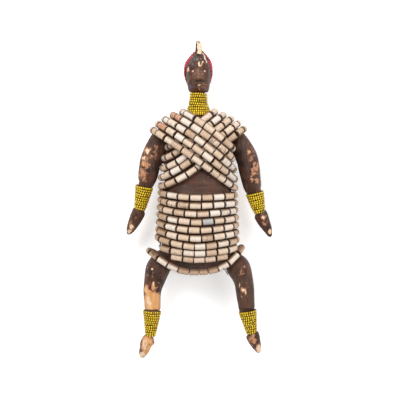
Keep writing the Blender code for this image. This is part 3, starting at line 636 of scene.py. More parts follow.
figure = {
    "bodyVoxel": 0.00106,
    "headVoxel": 0.00042,
    "bodyRounds": 5,
    "headRounds": 4,
    "steps": {"body": (1.2, 96), "limb": (6, 40), "head": (0.5, 96), "crest": (8, 32)},  # along and round
    "regain": 0.00055,  # what softening takes off the limbs
    "regainFrom": (36, 4),
    "regainHead": 0.00030,
    "shaved": 0.0001,
    "toolMarks": (150.0, 1.0, 0.00035),  # scale, seed, depth
    "toolStretch": (1.0, 0.45, 1.0),
    "hollows": (60.0, 5.0, 0.0006),
    "deepest": -0.001,
    "proudest": 0.0009,
    "headMarks": (260.0, 2.0, 0.00022),
    "headDeepest": -0.0005,
    "inset": 0.00002,  # inside the CAD's box
}
face = {  # heights and widths in parts; the face is seen from +Z
    "noseTop": 289.5, "noseTip": 280.9, "noseWide": 1.5, "noseOut": 3.0, "noseRoot": 0.25, "noseEnd": 300.0,
    "noseUnder": 0.5, "noseWiden": (0.7, 0.75),
    "grooveLevel": 278.4, "grooveDeep": 1.9, "grooveBend": 0.012, "grooveWide": 8.0, "grooveHigh": 1.25,
    "depth": 9.0, "fade": 1.2,  # carving fades towards the sides of the head
    "forms": (  # how far out, from the middle, half width, level, half height; both sides where not in the middle
        (0.55, 0.0, 2.6, 293.5, 6.5),  # ridge up the forehead
        (0.55, 5.0, 4.6, 291.3, 1.7),  # brows
        (-1.35, eyeSpread, 3.2, eyeLevel, 3.2),  # eye sockets
        (0.45, eyeSpread, 2.1, eyeLevel, 2.2),  # lids round the studs
        (1.2, 0.0, 4.6, 274.6, 1.2),  # upper lip
        (-0.8, 0.0, 4.2, 273.35, 0.7),  # mouth
        (0.55, 0.0, 4.0, 272.3, 1.0),  # lower lip
        (0.8, 0.0, 4.8, 270.8, 1.5),  # chin
        (0.3, 6.3, 3.2, 281.8, 3.4),  # cheeks
    ),
    "scratches": {  # beside the mouth
        "levels": (276.6, 275.05, 273.5, 271.95), "deep": 0.28, "at": 6.0, "wide": 3.6, "tilt": 0.12, "thin": 0.42,
    },
}
wornPlaces = (  # pixel place in the photograph, size in pixels, stretch along the body, strength, which layer
    (147.5, 151, 2.4, 1.2, 1.0, 1), (143.5, 164, 2.6, 1.6, 1.0, 0), (142.5, 173, 1.8, 3.4, 0.75, 0),
    (144.0, 158, 1.6, 1.5, 0.8, 1),
    (131.0, 227, 2.2, 1.4, 0.9, 1), (128.5, 232, 1.9, 1.0, 1.0, 1), (134.5, 219, 2.0, 1.3, 0.6, 0),
    (249.0, 152, 2.4, 1.3, 0.8, 0), (253.7, 164, 2.0, 1.6, 0.8, 0), (251.8, 180, 2.2, 1.5, 0.75, 0),
    (257.5, 181, 1.5, 1.8, 0.7, 0), (263.3, 217.5, 1.6, 1.2, 0.9, 1), (270.3, 232, 1.8, 1.3, 0.9, 1),
    (152.2, 269, 1.4, 1.2, 0.72, 1), (153.8, 283, 1.2, 2.0, 0.85, 1),
    (152.0, 301, 9.5, 1.1, 1.4, 0), (152.2, 307, 9.5, 0.9, 1.3, 0), (150.0, 303, 1.6, 3.0, 0.6, 1),
    (146.6, 290, 2.6, 1.9, 1.3, 0), (149.6, 292, 2.0, 1.6, 1.2, 0), (153.3, 286.5, 1.2, 3.0, 1.2, 0),
    (148.5, 300, 2.6, 2.6, 0.62, 1), (140.6, 357.0, 2.8, 1.3, 1.15, 1), (145.0, 346, 3.4, 2.6, 0.62, 1),
    (157.8, 296.5, 2.6, 1.4, 1.1, 0), (158.6, 289.0, 1.4, 2.6, 1.0, 2), (150.6, 286.5, 1.0, 2.4, 0.9, 2),
    (147.5, 346, 7.0, 1.7, 1.3, 0), (142.5, 355, 3.5, 1.2, 0.8, 1),
    (243.2, 290.0, 2.3, 0.8, 1.0, 1), (245.5, 292.5, 1.4, 1.4, 0.8, 1),
    (239.4, 284.5, 0.8, 3.0, 0.7, 1), (241.5, 296, 1.0, 2.0, 0.6, 1),
    (244.0, 266, 1.1, 1.2, 0.56, 1), (240.8, 272.7, 0.9, 2.2, 0.62, 1),
    (259.0, 350, 3.0, 1.3, 1.0, 1), (254.0, 342, 3.0, 1.8, 0.80, 0),
    (199.4, 46, 2.4, 2.7, 1.6, 1), (199.7, 51.5, 2.2, 1.3, 1.5, 1), (195.9, 46, 1.1, 6.0, 1.1, 2),
    (198.8, 42.3, 1.2, 1.2, 0.9, 2), (202.9, 47, 0.8, 6.0, 0.6, 2),
    (199.0, 55, 2.0, 0.8, 0.9, 2), (202.5, 56, 1.7, 1.1, 0.8, 2),
    (199.1, 64.9, 0.85, 4.2, 1.15, 1), (200.7, 66.3, 0.6, 1.3, 1.0, 1), (201.9, 64.5, 0.6, 1.4, 1.05, 1),
    (203.0, 62.4, 0.6, 1.5, 1.1, 1),
    *((203.0 + 0.5 * k, 53.4 + 1.25 * k, 0.62, 1.9, 1.15, 1) for k in range(8)),  # a scrape over the brow
    (188.0, 69.5, 1.1, 2.2, 0.8, 1),
    (146.0, 160, 7.0, 2.2, 0.62, 0), (143.0, 174, 6.0, 2.2, 0.62, 0), (156.5, 150, 5.0, 2.4, 0.40, 0),
    (252.0, 157, 5.0, 2.2, 0.50, 0), (255.5, 172, 6.0, 2.4, 0.56, 0), (152.2, 310.6, 9.0, 0.13, 1.2, 2),
    (246.6, 309.4, 9.0, 0.13, 0.9, 2), (150.5, 272, 6.0, 2.0, 0.34, 0), (154.0, 285, 8.0, 0.8, 0.46, 0),
    (245.5, 290, 6.5, 1.7, 0.34, 0), (241.5, 270, 6.0, 1.6, 0.32, 0), (132.0, 222, 5.0, 1.8, 0.48, 0),
    (264.0, 219, 5.0, 2.4, 0.44, 0), (253.0, 341, 6.0, 1.6, 0.58, 0), (203.0, 180, 14.0, 0.5, 0.20, 0),
)
paintAndLightTraces = (  # traces of old paint on the head, with painted highlights down the nose ridge and on the mouth and chin and painted shade in the lip groove and the mouth: pixel place, size, stretch, colour, strength
    (197.6, 59.0, 1.9, 1.1, (0.16, 0.20, 0.18), 0.9), (202.5, 56.0, 1.6, 1.1, (0.035, 0.055, 0.035), 1.0),
    (201.0, 58.6, 0.8, 1.0, (0.62, 0.17, 0.25), 0.9), (200.0, 57.2, 0.6, 1.6, (0.07, 0.02, 0.06), 0.9),
    (201.3, 62.2, 1.0, 1.1, (0.06, 0.17, 0.035), 1.0), (197.2, 63.0, 1.4, 0.7, (0.33, 0.06, 0.035), 0.8),
    (205.4, 63.0, 1.0, 1.2, (0.30, 0.05, 0.05), 0.8), (188.2, 76.0, 1.5, 2.6, (0.045, 0.075, 0.02), 0.95),
    (188.2, 80.0, 1.4, 2.2, (0.07, 0.075, 0.02), 0.8), (190.6, 77.0, 0.7, 6.0, (0.24, 0.04, 0.05), 0.7),
    (192.5, 63.5, 1.6, 1.6, (0.12, 0.11, 0.10), 0.7), (194.5, 59.0, 1.8, 1.4, (0.10, 0.10, 0.085), 0.7),
    (209.5, 72.0, 1.2, 4.5, (0.085, 0.075, 0.045), 0.7), (191.0, 87.0, 2.0, 1.2, (0.09, 0.05, 0.10), 0.7),
    (206.0, 88.6, 2.0, 0.7, (0.15, 0.14, 0.22), 0.6), (190.0, 85.5, 1.4, 1.0, (0.12, 0.07, 0.12), 0.6),
    # painted shade in the lip groove (199.5, 81.0) and in the mouth slit (195.6, 84.9); painted highlights down the
    # nose ridge (198.7, 78.1), (198.6, 74.2), (198.5, 70.4), on the mouth (199.0, 84.9) and on the chin (199.2,
    # 88.9)
    (199.5, 81.0, 6.8, 0.13, (0.012, 0.006, 0.005), 1.1), (195.6, 84.9, 1.6, 0.5, (0.012, 0.006, 0.005), 0.9),
    (198.7, 78.1, 0.8, 1.7, (0.50, 0.29, 0.19), 0.9), (198.6, 74.2, 0.7, 1.9, (0.42, 0.24, 0.16), 0.8),
    (198.5, 70.4, 0.8, 2.4, (0.40, 0.22, 0.15), 0.75), (204.5, 66.0, 0.8, 3.6, (0.025, 0.014, 0.010), 0.7),
    (202.0, 74.2, 1.0, 0.8, (0.33, 0.18, 0.12), 0.8), (199.0, 84.9, 1.7, 0.5, (0.80, 0.54, 0.36), 1.0),
    (199.2, 88.9, 1.1, 0.6, (0.58, 0.40, 0.32), 0.9), (204.6, 84.4, 3.6, 0.14, (0.30, 0.11, 0.06), 0.9),
    (204.8, 86.7, 3.4, 0.14, (0.25, 0.10, 0.06), 0.8), (204.5, 83.0, 3.0, 0.12, (0.26, 0.12, 0.08), 0.7),
    (199.0, 77.5, 5.0, 0.55, (0.20, 0.088, 0.052), 0.8), (198.0, 73.0, 8.0, 1.1, (0.20, 0.094, 0.058), 0.62),
    (202.0, 88.0, 5.5, 0.5, (0.16, 0.075, 0.048), 0.6), (194.0, 78.0, 1.6, 1.3, (0.17, 0.07, 0.04), 0.6),
    (196.0, 58.5, 4.5, 0.9, (0.075, 0.066, 0.052), 0.62), (199.5, 69.5, 2.6, 1.3, (0.15, 0.075, 0.048), 0.6),
)


def carveFace(co):
    f, p = face, toParts(co)
    x, y = p[:, 0] - faceMiddle, p[:, 1]
    down = np.clip((f["noseTop"] - y) / (f["noseTop"] - f["noseTip"]), 0, 1)
    onNose = (y > f["noseTip"] - f["noseUnder"]) & (y < f["noseEnd"])
    wide = 2 * f["noseWide"] * (f["noseWiden"][0] + f["noseWiden"][1] * down)
    out = np.where(onNose, bump(x, wide) * (f["noseRoot"] + f["noseOut"] * down), 0)
    for far, middle, halfWidth, level, halfHeight in f["forms"]:
        out += far * bump(np.abs(x) - middle, halfWidth) * bump(y - level, halfHeight)
    groove = y - f["grooveLevel"] + f["grooveBend"] * x * x
    out -= f["grooveDeep"] * bump(x, f["grooveWide"]) * bump(groove, f["grooveHigh"])
    s = f["scratches"]
    for level in s["levels"]:
        out -= s["deep"] * bump(x - s["at"], s["wide"]) * bump(y - level - s["tilt"] * x, s["thin"])
    moved = co.copy()
    moved[:, 2] += np.where(p[:, 2] > 0, out * np.clip(p[:, 2] / f["depth"], 0, 1) ** f["fade"], 0) * part
    return moved


worn = {
    "level": 0.04,  # height at which the places are read off the photograph
    "wobble": ((320.0, 3.0, 0.0009),),  # scale, seed, how far
    "fall": 1.4,  # how sharply a place ends
    "paleChip": 1.15,  # weaker pale chips than this have bare wood round them
    "chipRing": (0.8, 2.6, 1.2),
    "bareSize": 7, "bareStrength": 1.3,  # from these on the wood is bare all the way round
    "front": (2, 0.6),  # how wear fades towards the sides
    "bareBehind": 0.62,
    "behind": (70.0, 9.0, 2.0),  # the unseen side has worn places of its own: scale, seed, strength
    "behindFrom": 0.42, "behindMost": 0.5,
    "trunkHalf": 40, "trunkFoot": 96, "trunkNeck": 250, "trunkFades": (6, 8),
}
traces = {
    "level": 0.05, "wobble": ((700.0, 7.0, 0.0006), (1700.0, 11.0, 0.0005)), "fall": 1.3, "front": (3, 0.8),
    "unpainted": (0.1, 0.1, 0.1, 0.0),
}


def spotDistance(co, facts, wobble, spot):  # how far off a spot each point lies, in the spot's own sizes, squared
    px, py, size, stretch = spot
    x, y = seen(px, py, facts["level"])
    reach = size * camera["width"] / camera["pixels"]
    dx, dy = (co[:, 0] - x + wobble) / reach, (co[:, 1] - y + wobble) / (reach * stretch)
    return dx * dx + dy * dy


def marked(co, scale, seed, depth):
    return rough(co, scale, seed) * depth


def wobbled(co, facts):
    return sum(marked(co, *row) for row in facts["wobble"])


def towardsViewer(normals, gain, base):  # fades what lies on the sides of the doll
    return np.clip(normals[:, 2] * gain + base, 0, 1)


def wornLayers(co, normals):
    w, wobble = worn, wobbled(co, worn)
    layers, allRound = np.zeros((len(co), 4)), np.zeros(len(co))
    ring, ringWide, ringFall = w["chipRing"]
    for *spot, strength, layer in wornPlaces:
        far = spotDistance(co, w, wobble, spot)
        mask = strength * np.exp(-far ** w["fall"])
        layers[:, layer] = np.maximum(layers[:, layer], mask)
        if layer == 1 and strength < w["paleChip"]:
            layers[:, 0] = np.maximum(layers[:, 0], ring * strength * np.exp(-(far / ringWide) ** ringFall))
        if spot[2] >= w["bareSize"] and strength >= w["bareStrength"]:
            allRound = np.maximum(allRound, mask)
    front = towardsViewer(normals, *w["front"])
    layers[:, :3] *= front[:, None]
    behind = np.clip(marked(co, *w["behind"]) - w["behindFrom"], 0, w["behindMost"]) * (1 - front)
    for mask in (behind, allRound * (w["bareBehind"] + (1 - w["bareBehind"]) * front)):
        layers[:, 0] = np.maximum(layers[:, 0], mask)
    p, (sideFade, endFade) = toParts(co), w["trunkFades"]
    layers[:, 3] = np.clip((w["trunkHalf"] - np.abs(p[:, 0])) / sideFade, 0, 1)
    layers[:, 3] *= np.clip((p[:, 1] - w["trunkFoot"]) / endFade, 0, 1)
    layers[:, 3] *= np.clip((w["trunkNeck"] - p[:, 1]) / endFade, 0, 1)
    return layers


# paints the old paint traces and the painted highlights and painted shade of the face into a colour layer
def paintAndLightLayer(co, normals):
    wobble = wobbled(co, traces)
    rows = np.tile(traces["unpainted"], (len(co), 1))
    for *spot, colour, strength in paintAndLightTraces:
        mask = strength * np.exp(-spotDistance(co, traces, wobble, spot) ** traces["fall"])
        better = mask > rows[:, 3]
        rows[better, :3], rows[better, 3] = colour, mask[better]
    rows[:, 3] *= towardsViewer(normals, *traces["front"])
    return rows


def fitOut(piece, node):
    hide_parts(node)
    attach(piece, "root")


def buildFigure():
    w, f = waistFill, figure
    full = []
    for level, middle, half, *others in trunkRows:
        half += w["out"] * (w["low"] < level < w["high"]) + w["ribsOut"] * (w["ribsLow"] < level < w["ribsHigh"])
        full.append((level, middle, half, *others))
    steps, allLimbs = f["steps"], (*limbs.values(), *armRoots.values())
    lofts = [bodyLoft(full, *steps["body"])] + [limbLoft(rows, *steps["limb"]) for rows in allLimbs]
    body = fused("body", lofts, f["bodyVoxel"], f["bodyRounds"])
    co = readMesh(body, "co")
    marks = marked(co * np.array(f["toolStretch"]), *f["toolMarks"])
    hollows = marked(co, *f["hollows"])
    start, fade = f["regainFrom"]
    regain = f["regain"] * np.clip((np.abs(toParts(co)[:, 0]) - start) / fade, 0, 1) - f["shaved"]
    co = co + readMesh(body, "normal") * np.clip(marks + hollows + regain, f["deepest"], f["proudest"])[:, None]
    fullHead = [(level, middle, half * headFill, *others) for level, middle, half, *others in headRows]
    lofts = [bodyLoft(fullHead, *steps["head"]), limbLoft(crestRows, *steps["crest"])]
    head = fused("head", lofts, f["headVoxel"], f["headRounds"])
    headNormals = readMesh(head, "normal")
    headCo = carveFace(readMesh(head, "co") + headNormals * f["regainHead"])
    nicks = np.clip(marked(headCo, *f["headMarks"]) - f["shaved"], f["headDeepest"], 0)
    verts, faces = joined([
        (co, [tuple(p.vertices) for p in body.polygons]),
        (headCo + headNormals * nicks[:, None], [tuple(p.vertices) for p in head.polygons]),
    ])
    low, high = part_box("wooden_figure")
    verts = np.clip(verts, np.array(low) + f["inset"], np.array(high) - f["inset"])
    made = meshFrom("wooden_figure_carved", verts, faces)
    normals = readMesh(made, "normal")
    addColour(made, "wornWood", wornLayers(verts, normals))
    addColour(made, "paintAndLightTraces", paintAndLightLayer(verts, normals))
    fitOut(newObject("carved_figure", made, [carvedWood]), "wooden_figure")
    print("figure carved,", len(faces), "faces")


buildFigure()

strandBead = {
    "radius": 0.00360, "lift": 0.00442, "length": 0.0111, "gap": 0.00050,
    "clear": 0.00006,  # kept from the floor and from the top of the CAD's box
    # the next line also sets the painted shade on the edge towards the head of some beads facing the viewer
    "tones": (0.05, 0.2, 0.35, 0.45, 0.55, 0.75), "upperEdgeShades": (0.0, 0.1, 0.2, 0.35, 0.55), "upperEdgeShadeFacing": 0.3,
    "stained": 0.07, "stain": (0.4, 0.8), "chipped": (0.2, 0.9), "gapVaries": (0.7, 1.3),
    "radiusVaries": (0.955, 1.0), "jitter": 0.00012,
    "shortest": 0.6, "longest": 1.45,  # joints nearer than this are one, and wider gaps hold more beads
    "threadSteps": 150, "threadSides": 6, "threadShare": 0.95, "tailShare": 0.8, "tailSteps": 5,
}
halfOutline = [  # place along a bead from its middle, share of its radius; the last three are its hole
    (0.0, 1.0), (0.40, 1.0), (0.70, 0.998), (0.87, 0.990), (0.945, 0.965), (0.98, 0.92), (0.997, 0.84), (1.0, 0.70),
    (0.995, 0.36), (0.95, 0.26), (0.80, 0.24),
]
longShape = (np.array([(-u, r) for u, r in reversed(halfOutline[1:])] + halfOutline), 22)  # outline and sides
rowPitch = (2 * cadRadius * math.cos(math.pi / 2 / beadCad["sides"]) + beadCad["gap"]) / part
layer = beadCad["diameter"] + 3 * beadCad["gap"]
turnAngles = aroundRing(240)
topOfDoll = float(cadBox[1][2])
insideBox = 0.00003
lowestCorner, highestCorner = np.array(cadBox[0]) + insideBox, np.array(cadBox[1]) - insideBox


class Line:  # a closed line with the outward direction at each point, read by distance
    def __init__(self, points, normals):
        self.points = np.concatenate([points, points[:1]])
        self.normals = np.concatenate([normals, normals[:1]])
        self.far = np.concatenate([[0], np.cumsum(np.linalg.norm(np.diff(self.points, axis=0), axis=1))])
        self.length = float(self.far[-1])

    def read(self, d):
        d = np.mod(d, self.length)
        p = np.array([np.interp(d, self.far, self.points[:, k]) for k in range(3)])
        n = np.array([np.interp(d, self.far, self.normals[:, k]) for k in range(3)])
        return p.T, unit(n.T)

    def whereX(self, x, steps=3000):  # distance at which the front of the line passes this sideways place
        d = np.linspace(0, self.length, steps, endpoint=False)
        p, n = self.read(d)
        away = np.abs(p[:, 0] - x) + np.where(n[:, 2] > 0.02, 0, self.length)
        return float(d[np.argmin(away)])


def pullTaut(p, normal):  # a strand doesn't fold back on itself, so it bridges the hollows
    x, count = p[:, 0], len(p)
    right, left = int(np.argmax(x)), int(np.argmin(x))
    kept = []
    for start, end in ((right, left), (left, right)):
        way = np.sign(x[end] - x[start])
        run = [start]
        for step in range(1, (end - start) % count):
            k = (start + step) % count
            if way * (x[k] - x[run[-1]]) > 1e-5:
                run.append(k)
        kept += run
    line = Line(p[kept], normal[kept])
    p, normal = line.read(np.linspace(0, line.length, count, endpoint=False))
    for _ in range(straps["soften"]):
        p, normal = ((np.roll(v, 1, 0) + 2 * v + np.roll(v, -1, 0)) / 4 for v in (p, normal))
        normal = unit(normal)
    return Line(p, normal)


def leaned(lift, normal, straight):  # a line that isn't square to the body stands off it further
    return normal * (lift / np.maximum(np.sum(normal * straight, 1), 0.6))[:, None]


def layOnBody(rows, origins, directions, acrosses, lift, taut=False):
    foot = surfacePoint(rows, origins, unit(directions))
    straight = outward(rows, foot)
    normal = unit(straight - acrosses * np.sum(straight * acrosses, 1)[:, None])
    p = world(foot) + leaned(lift(foot), normal, straight)
    r = strandBead["radius"] + strandBead["clear"]
    p[:, 2] = np.clip(p[:, 2], r, topOfDoll - r)
    return pullTaut(p, normal) if taut else Line(p, normal)


beadWear = {  # how far one bead differs from the next
    "taper": 0.035, "oval": 0.022, "dents": 0.016, "twist": 2.2,
    "chips": (1, 2, 2, 3), "chipDeep": (0.2, 1.0), "chipWide": 0.42, "chipFrom": 0.72, "chipLong": 0.00065,
    "chipThin": 0.13, "holeFrom": 0.6, "holeGrime": 1.3,
    "openFrom": 0.9, "openHole": 0.3, "openGrime": 0.5,  # an end with no bead beside it
    "paintedShadeFrom": 0.86, "paintedShadeMost": 1.15,  # painted shade lies between the beads and not on their crowns
    # painted shade on the edge of a bead towards the head
    "upperEdgeShadeSteep": 1.4, "upperEdgeShadeFrom": 0.15,
    "pattern": 600, "patterns": 50,
}
anyTurn = 6.28


class BeadMesh:  # gathers beads and thread for one piece
    def __init__(self, name):
        self.name = name
        self.rng = random.Random(name)
        self.verts, self.faces, self.slots, self.tone, self.spot, self.side = [], [], [], [], [], []
        self.count = 0

    def keep(self, points, faces, slot, tone, side, spot):
        self.verts.append(points.reshape(-1, 3))
        self.faces += faces
        self.slots += [slot] * len(faces)
        self.tone.append(tone.reshape(-1, 4))
        self.side.append(side)
        self.spot.append(spot.reshape(-1, 3))
        self.count += len(side)

    def addBead(self, middle, axis, out, length, radius, shape, facts):
        facts = {"paintedShade": 1.0, "rim": 0.0, "openEnds": (False, False), **facts}
        rng, w, (form, sides) = self.rng, beadWear, shape
        side = unit(np.cross(axis, out))
        out = unit(np.cross(side, axis))
        turn = aroundRing(sides) + rng.random() * anyTurn
        c, s = np.cos(turn), np.sin(turn)
        u, r = form[:, :1], form[:, 1:]
        taper = 1 + rng.uniform(-w["taper"], w["taper"]) * u
        phase, other = rng.random() * anyTurn, rng.random() * anyTurn
        oval = 1 - w["oval"] * (1 + np.cos(2 * (turn - phase)))
        dents = 1 - w["dents"] * (1 + np.cos(3 * turn + other + w["twist"] * u))
        rr = radius * r * taper * oval * dents
        uu = np.repeat(u, sides, 1) * length / 2
        for _ in range(rng.choice(w["chips"])):
            where, which = rng.random() * anyTurn, rng.choice((-1, 1))
            deep = facts["chip"] * rng.uniform(*w["chipDeep"])
            near = np.exp(-(np.angle(np.exp(1j * (turn - where))) / w["chipWide"]) ** 2)
            chipped = near * deep * np.clip((u * which - w["chipFrom"]) / (1 - w["chipFrom"]), 0, 1)
            uu = uu - which * chipped * w["chipLong"]
            rr = rr * (1 - chipped * w["chipThin"])
        points = middle + uu[..., None] * axis + rr[..., None] * (c[:, None] * out + s[:, None] * side)
        grime = np.repeat(u ** 2 * (2 - u ** 2), sides, 1) * np.where(r < w["holeFrom"], w["holeGrime"], 1.0)
        openFace = (np.where(u > 0, facts["openEnds"][1], facts["openEnds"][0]) > 0) & (np.abs(u) > w["openFrom"])
        grime = np.where(openFace, np.where(r > w["openHole"], w["openGrime"], w["holeGrime"]), grime)
        tone = np.zeros((*grime.shape, 4))
        tone[..., 0], tone[..., 1], tone[..., 2], tone[..., 3] = facts["tone"], grime, facts["stain"], facts["kind"]
        # painted shade on the sides that face neighbouring beads, and on the edge towards the head
        paintedShade = np.clip((w["paintedShadeFrom"] - c) / w["paintedShadeFrom"], 0, w["paintedShadeMost"]) * facts["paintedShade"]
        paintedShade = paintedShade + facts["rim"] * np.clip(s * w["upperEdgeShadeSteep"] - w["upperEdgeShadeFrom"], 0, 1)
        pattern = rng.random() * w["patterns"]
        spot = np.stack([uu, c * rr, s * rr], -1) * w["pattern"] + pattern * np.array([1, 1, -1])
        self.keep(points, ringFaces(len(form), sides, self.count), 0, tone, np.tile(paintedShade, len(form)), spot)

    def addTube(self, points, radius, sides, closed=False):
        p = np.asarray(points)
        tangent = unit(np.roll(p, -1, 0) - np.roll(p, 1, 0) if closed else np.gradient(p, axis=0))
        other = np.where(np.abs(tangent[:, 2:3]) > 0.9, np.array([[1.0, 0, 0]]), np.array([[0, 0, 1.0]]))
        side = unit(np.cross(tangent, other))[:, None]
        up = np.cross(side, tangent[:, None])
        turn = aroundRing(sides)[None, :, None]
        ring = p[:, None] + radius * (np.cos(turn) * side + np.sin(turn) * up)
        faces = ringFaces(len(p), sides, self.count, closed)
        if not closed:
            faces.append(tuple(self.count + k for k in range(sides - 1, -1, -1)))
            faces.append(tuple(self.count + (len(p) - 1) * sides + k for k in range(sides)))
        tone = np.tile([0.5, 0, 0, 1.0], (len(p) * sides, 1))
        self.keep(ring, faces, 1, tone, np.zeros(len(tone)), ring * beadWear["pattern"])

    def finish(self, materials, node, slot):
        verts = np.clip(np.concatenate(self.verts), lowestCorner, highestCorner)
        mesh = meshFrom(self.name, verts, self.faces)
        mesh.polygons.foreach_set("material_index", self.slots)
        addColour(mesh, "beadTone", np.concatenate(self.tone))
        # the painted shade of every point
        side = np.concatenate(self.side)
        addColour(mesh, "beadPaintedShade", np.stack([side, side, side, np.ones(len(side))], 1))
        spot = mesh.attributes.new("beadSpot", "FLOAT_VECTOR", "POINT")
        spot.data.foreach_set("vector", np.concatenate(self.spot).astype(np.float32).reshape(-1))
        fitOut(newObject(self.name, mesh, materials), node)


def fillJoints(line, seenJoints, length):  # the joints seen in front, and even beads round the rest
    if not seenJoints:
        count = round(line.length / length)
        return [(k * line.length / count, (k + 1) * line.length / count) for k in range(count)]
    ds = []
    for d in sorted(seenJoints):
        if not ds or d - ds[-1] > strandBead["shortest"] * length:
            ds.append(d)
    gaps = [(b - a, a) for a, b in zip(ds, ds[1:] + [ds[0] + line.length])]
    spans = []
    for gap, a in gaps:
        parts = max(1, round(gap / length)) if gap > strandBead["longest"] * length else 1
        spans += [(a + k * gap / parts, a + (k + 1) * gap / parts) for k in range(parts)]
    return spans


def plainBeads(p, n):  # what is odd about the bead at a place: nothing
    return {}


def makeStrand(name, node, line, joints, bare=None, odd=plainBeads, radius=strandBead["radius"], tails=()):
    piece = BeadMesh(name)
    rng, b = piece.rng, strandBead
    spans = fillJoints(line, [line.whereX(x) for x in joints], b["length"])
    empty = [bool(bare and bare(*line.read((start + end) / 2))) for start, end in spans]
    for k, (start, end) in enumerate(spans):
        if empty[k]:
            continue
        p, n = line.read((start + end) / 2)
        a, c = line.read(start)[0], line.read(end)[0]
        long = np.linalg.norm(c - a) - b["gap"] * rng.uniform(*b["gapVaries"])
        r = radius * rng.uniform(*b["radiusVaries"])
        facts = {"tone": rng.choice(b["tones"]), "stain": 0.0, "kind": 0.0, "chip": rng.uniform(*b["chipped"])}
        if rng.random() < b["stained"]:
            facts["stain"] = rng.uniform(*b["stain"])
        facts["openEnds"] = (empty[k - 1], empty[(k + 1) % len(spans)])
        # some beads facing the viewer get painted shade on their edge towards the head
        facts["rim"] = rng.choice(b["upperEdgeShades"]) * (n[2] > b["upperEdgeShadeFacing"])
        facts.update(odd(p, n))
        jitter = np.array([rng.uniform(-1, 1), rng.uniform(-1, 1), rng.uniform(-1, 0)]) * b["jitter"]
        centre = (a + c) / 4 + p / 2 + jitter
        centre[2] = min(max(centre[2], r + b["clear"]), topOfDoll - r - b["clear"])
        piece.addBead(centre, unit(c - a), n, long, r, longShape, facts)
    ds = np.linspace(0, line.length, b["threadSteps"], endpoint=False)
    piece.addTube(line.read(ds)[0], threadR * b["threadShare"], b["threadSides"], closed=True)
    for tail in tails:  # a loose end of the thread
        path = smoothPath([[*seen(px, py, z), z] for px, py, z in tail], b["tailSteps"])
        piece.addTube(path, threadR * b["tailShare"], b["threadSides"])
    piece.finish([paleBeads, darkThread], node, "pale_bead")


def onBead(p, n, facing, px, z, reach):  # is this the bead at that pixel
    return n[2] > facing and abs(p[0] - seenX(px, z)) < reach


belt = {
    "lowestLeft": 123.0, "lowestRight": 120.0, "lowestBack": 123.4,
    "sag": 4.0, "sagGrowth": 0.68, "full": 7,
    "joints": (  # sideways pixels in the photograph at which beads meet, from the top strand down
        (168.2, 178.5, 189.9, 201.5, 212.6, 223.6, 232.4),
        (160.2, 168.6, 177.8, 189.5, 201.3, 212.6, 223.6, 232.8),
        (164.6, 174.3, 184.9, 196.9, 209.0, 219.6, 228.4),
        (160.5, 168.6, 178.9, 190.6, 202.0, 213.4, 223.3, 232.8),
        (159.1, 166.4, 177.1, 188.4, 200.2, 211.9, 222.9, 231.7),
        (159.1, 167.5, 178.2, 189.5, 201.5, 213.0, 224.0, 232.4),
        (160.5, 171.2, 183.1, 194.5, 205.7, 216.7, 227.7, 235.4),
        (161.3, 171.2, 183.3, 194.3, 205.7, 216.7, 227.3, 236.1),
        (171.5, 182.9, 193.6, 204.9, 215.9, 226.9),
    ),
    "bend": 1.5, "seenLevel": 0.070, "oddLevel": 0.068, "sideLevel": 0.06,  # heights at which pixels are read
    "short": (  # the two strands under the full ones: bend, room under the last full one, reach behind
        {"bend": 0.6, "room": 0.0005, "backReach": 24.0}, {"bend": 0.43, "room": 0.0027, "backReach": 18.0},
    ),
    "shortStep": 6.6, "shortBack": 9.6, "shortLevel": 0.063,
    "odd": {2: (172.5, {"stain": 1.0, "chip": 1.6}), 4: (207.6, {"kind": 0.4})},  # a stained bead and a slate one
    "oddFacing": 0.5, "oddReach": 0.005,
    # the left beads are darker in tone, and they and all beads away from the sides get stronger painted shade
    # between them
    "sides": (166, 233), "sideFacing": -0.2, "left": {"tone": 0.95, "paintedShade": 1.15}, "right": {"tone": 0.75},
    "others": {"paintedShade": 1.15},
    "bareFade": (4, 5), "bareRoom": 0.001,
}


def beltLine(levels, power, lift):
    left, right, front, back = levels
    c, s = np.cos(turnAngles), np.sin(turnAngles)
    side = (left + right) / 2 + c * (right - left) / 2
    level = side + (front - side) * np.maximum(s, 0) ** power + (back - side) * np.maximum(-s, 0) ** power
    zero = np.zeros(len(c))
    origins = np.stack([stationAt(trunkRows, level)[:, 0], level, zero], 1)
    directions = np.stack([c, zero, s], 1)
    return layOnBody(trunkRows, origins, directions, np.tile([0.0, 1.0, 0.0], (len(c), 1)), lift)


def plainLift(foot):
    return np.full(len(foot), strandBead["lift"])


def shortLift(foot):  # bare thread lies closer to the body
    start, fade = belt["bareFade"]
    share = np.clip((np.abs(foot[:, 2]) - start) / fade, 0, 1)
    low = threadR + beadCad["gap"] + beadCad["standOff"]
    return low + (strandBead["lift"] - low) * share


def oddBelt(row):
    px, facts = belt["odd"].get(row, (0, {}))

    def odd(p, n):
        if facts and onBead(p, n, belt["oddFacing"], px, belt["oddLevel"], belt["oddReach"]):
            return facts
        left, right = (seenX(x, belt["sideLevel"]) for x in belt["sides"])
        if n[2] > belt["sideFacing"] and p[0] < left:
            return belt["left"]
        if n[2] > belt["sideFacing"] and p[0] > right:
            return belt["right"]
        return belt["others"]
    return odd


def fullStrand(row):
    b, above = belt, belt["full"] - row
    rise = above * rowPitch
    front = (b["lowestLeft"] + b["lowestRight"]) / 2 + rise - b["sag"] - b["sagGrowth"] * (b["full"] - 1 - above)
    joints = [seenX(x, b["seenLevel"]) for x in b["joints"][row - 1]]
    levels = (b["lowestLeft"] + rise, b["lowestRight"] + rise, front, b["lowestBack"] + rise)
    return beltLine(levels, b["bend"], plainLift), joints, None


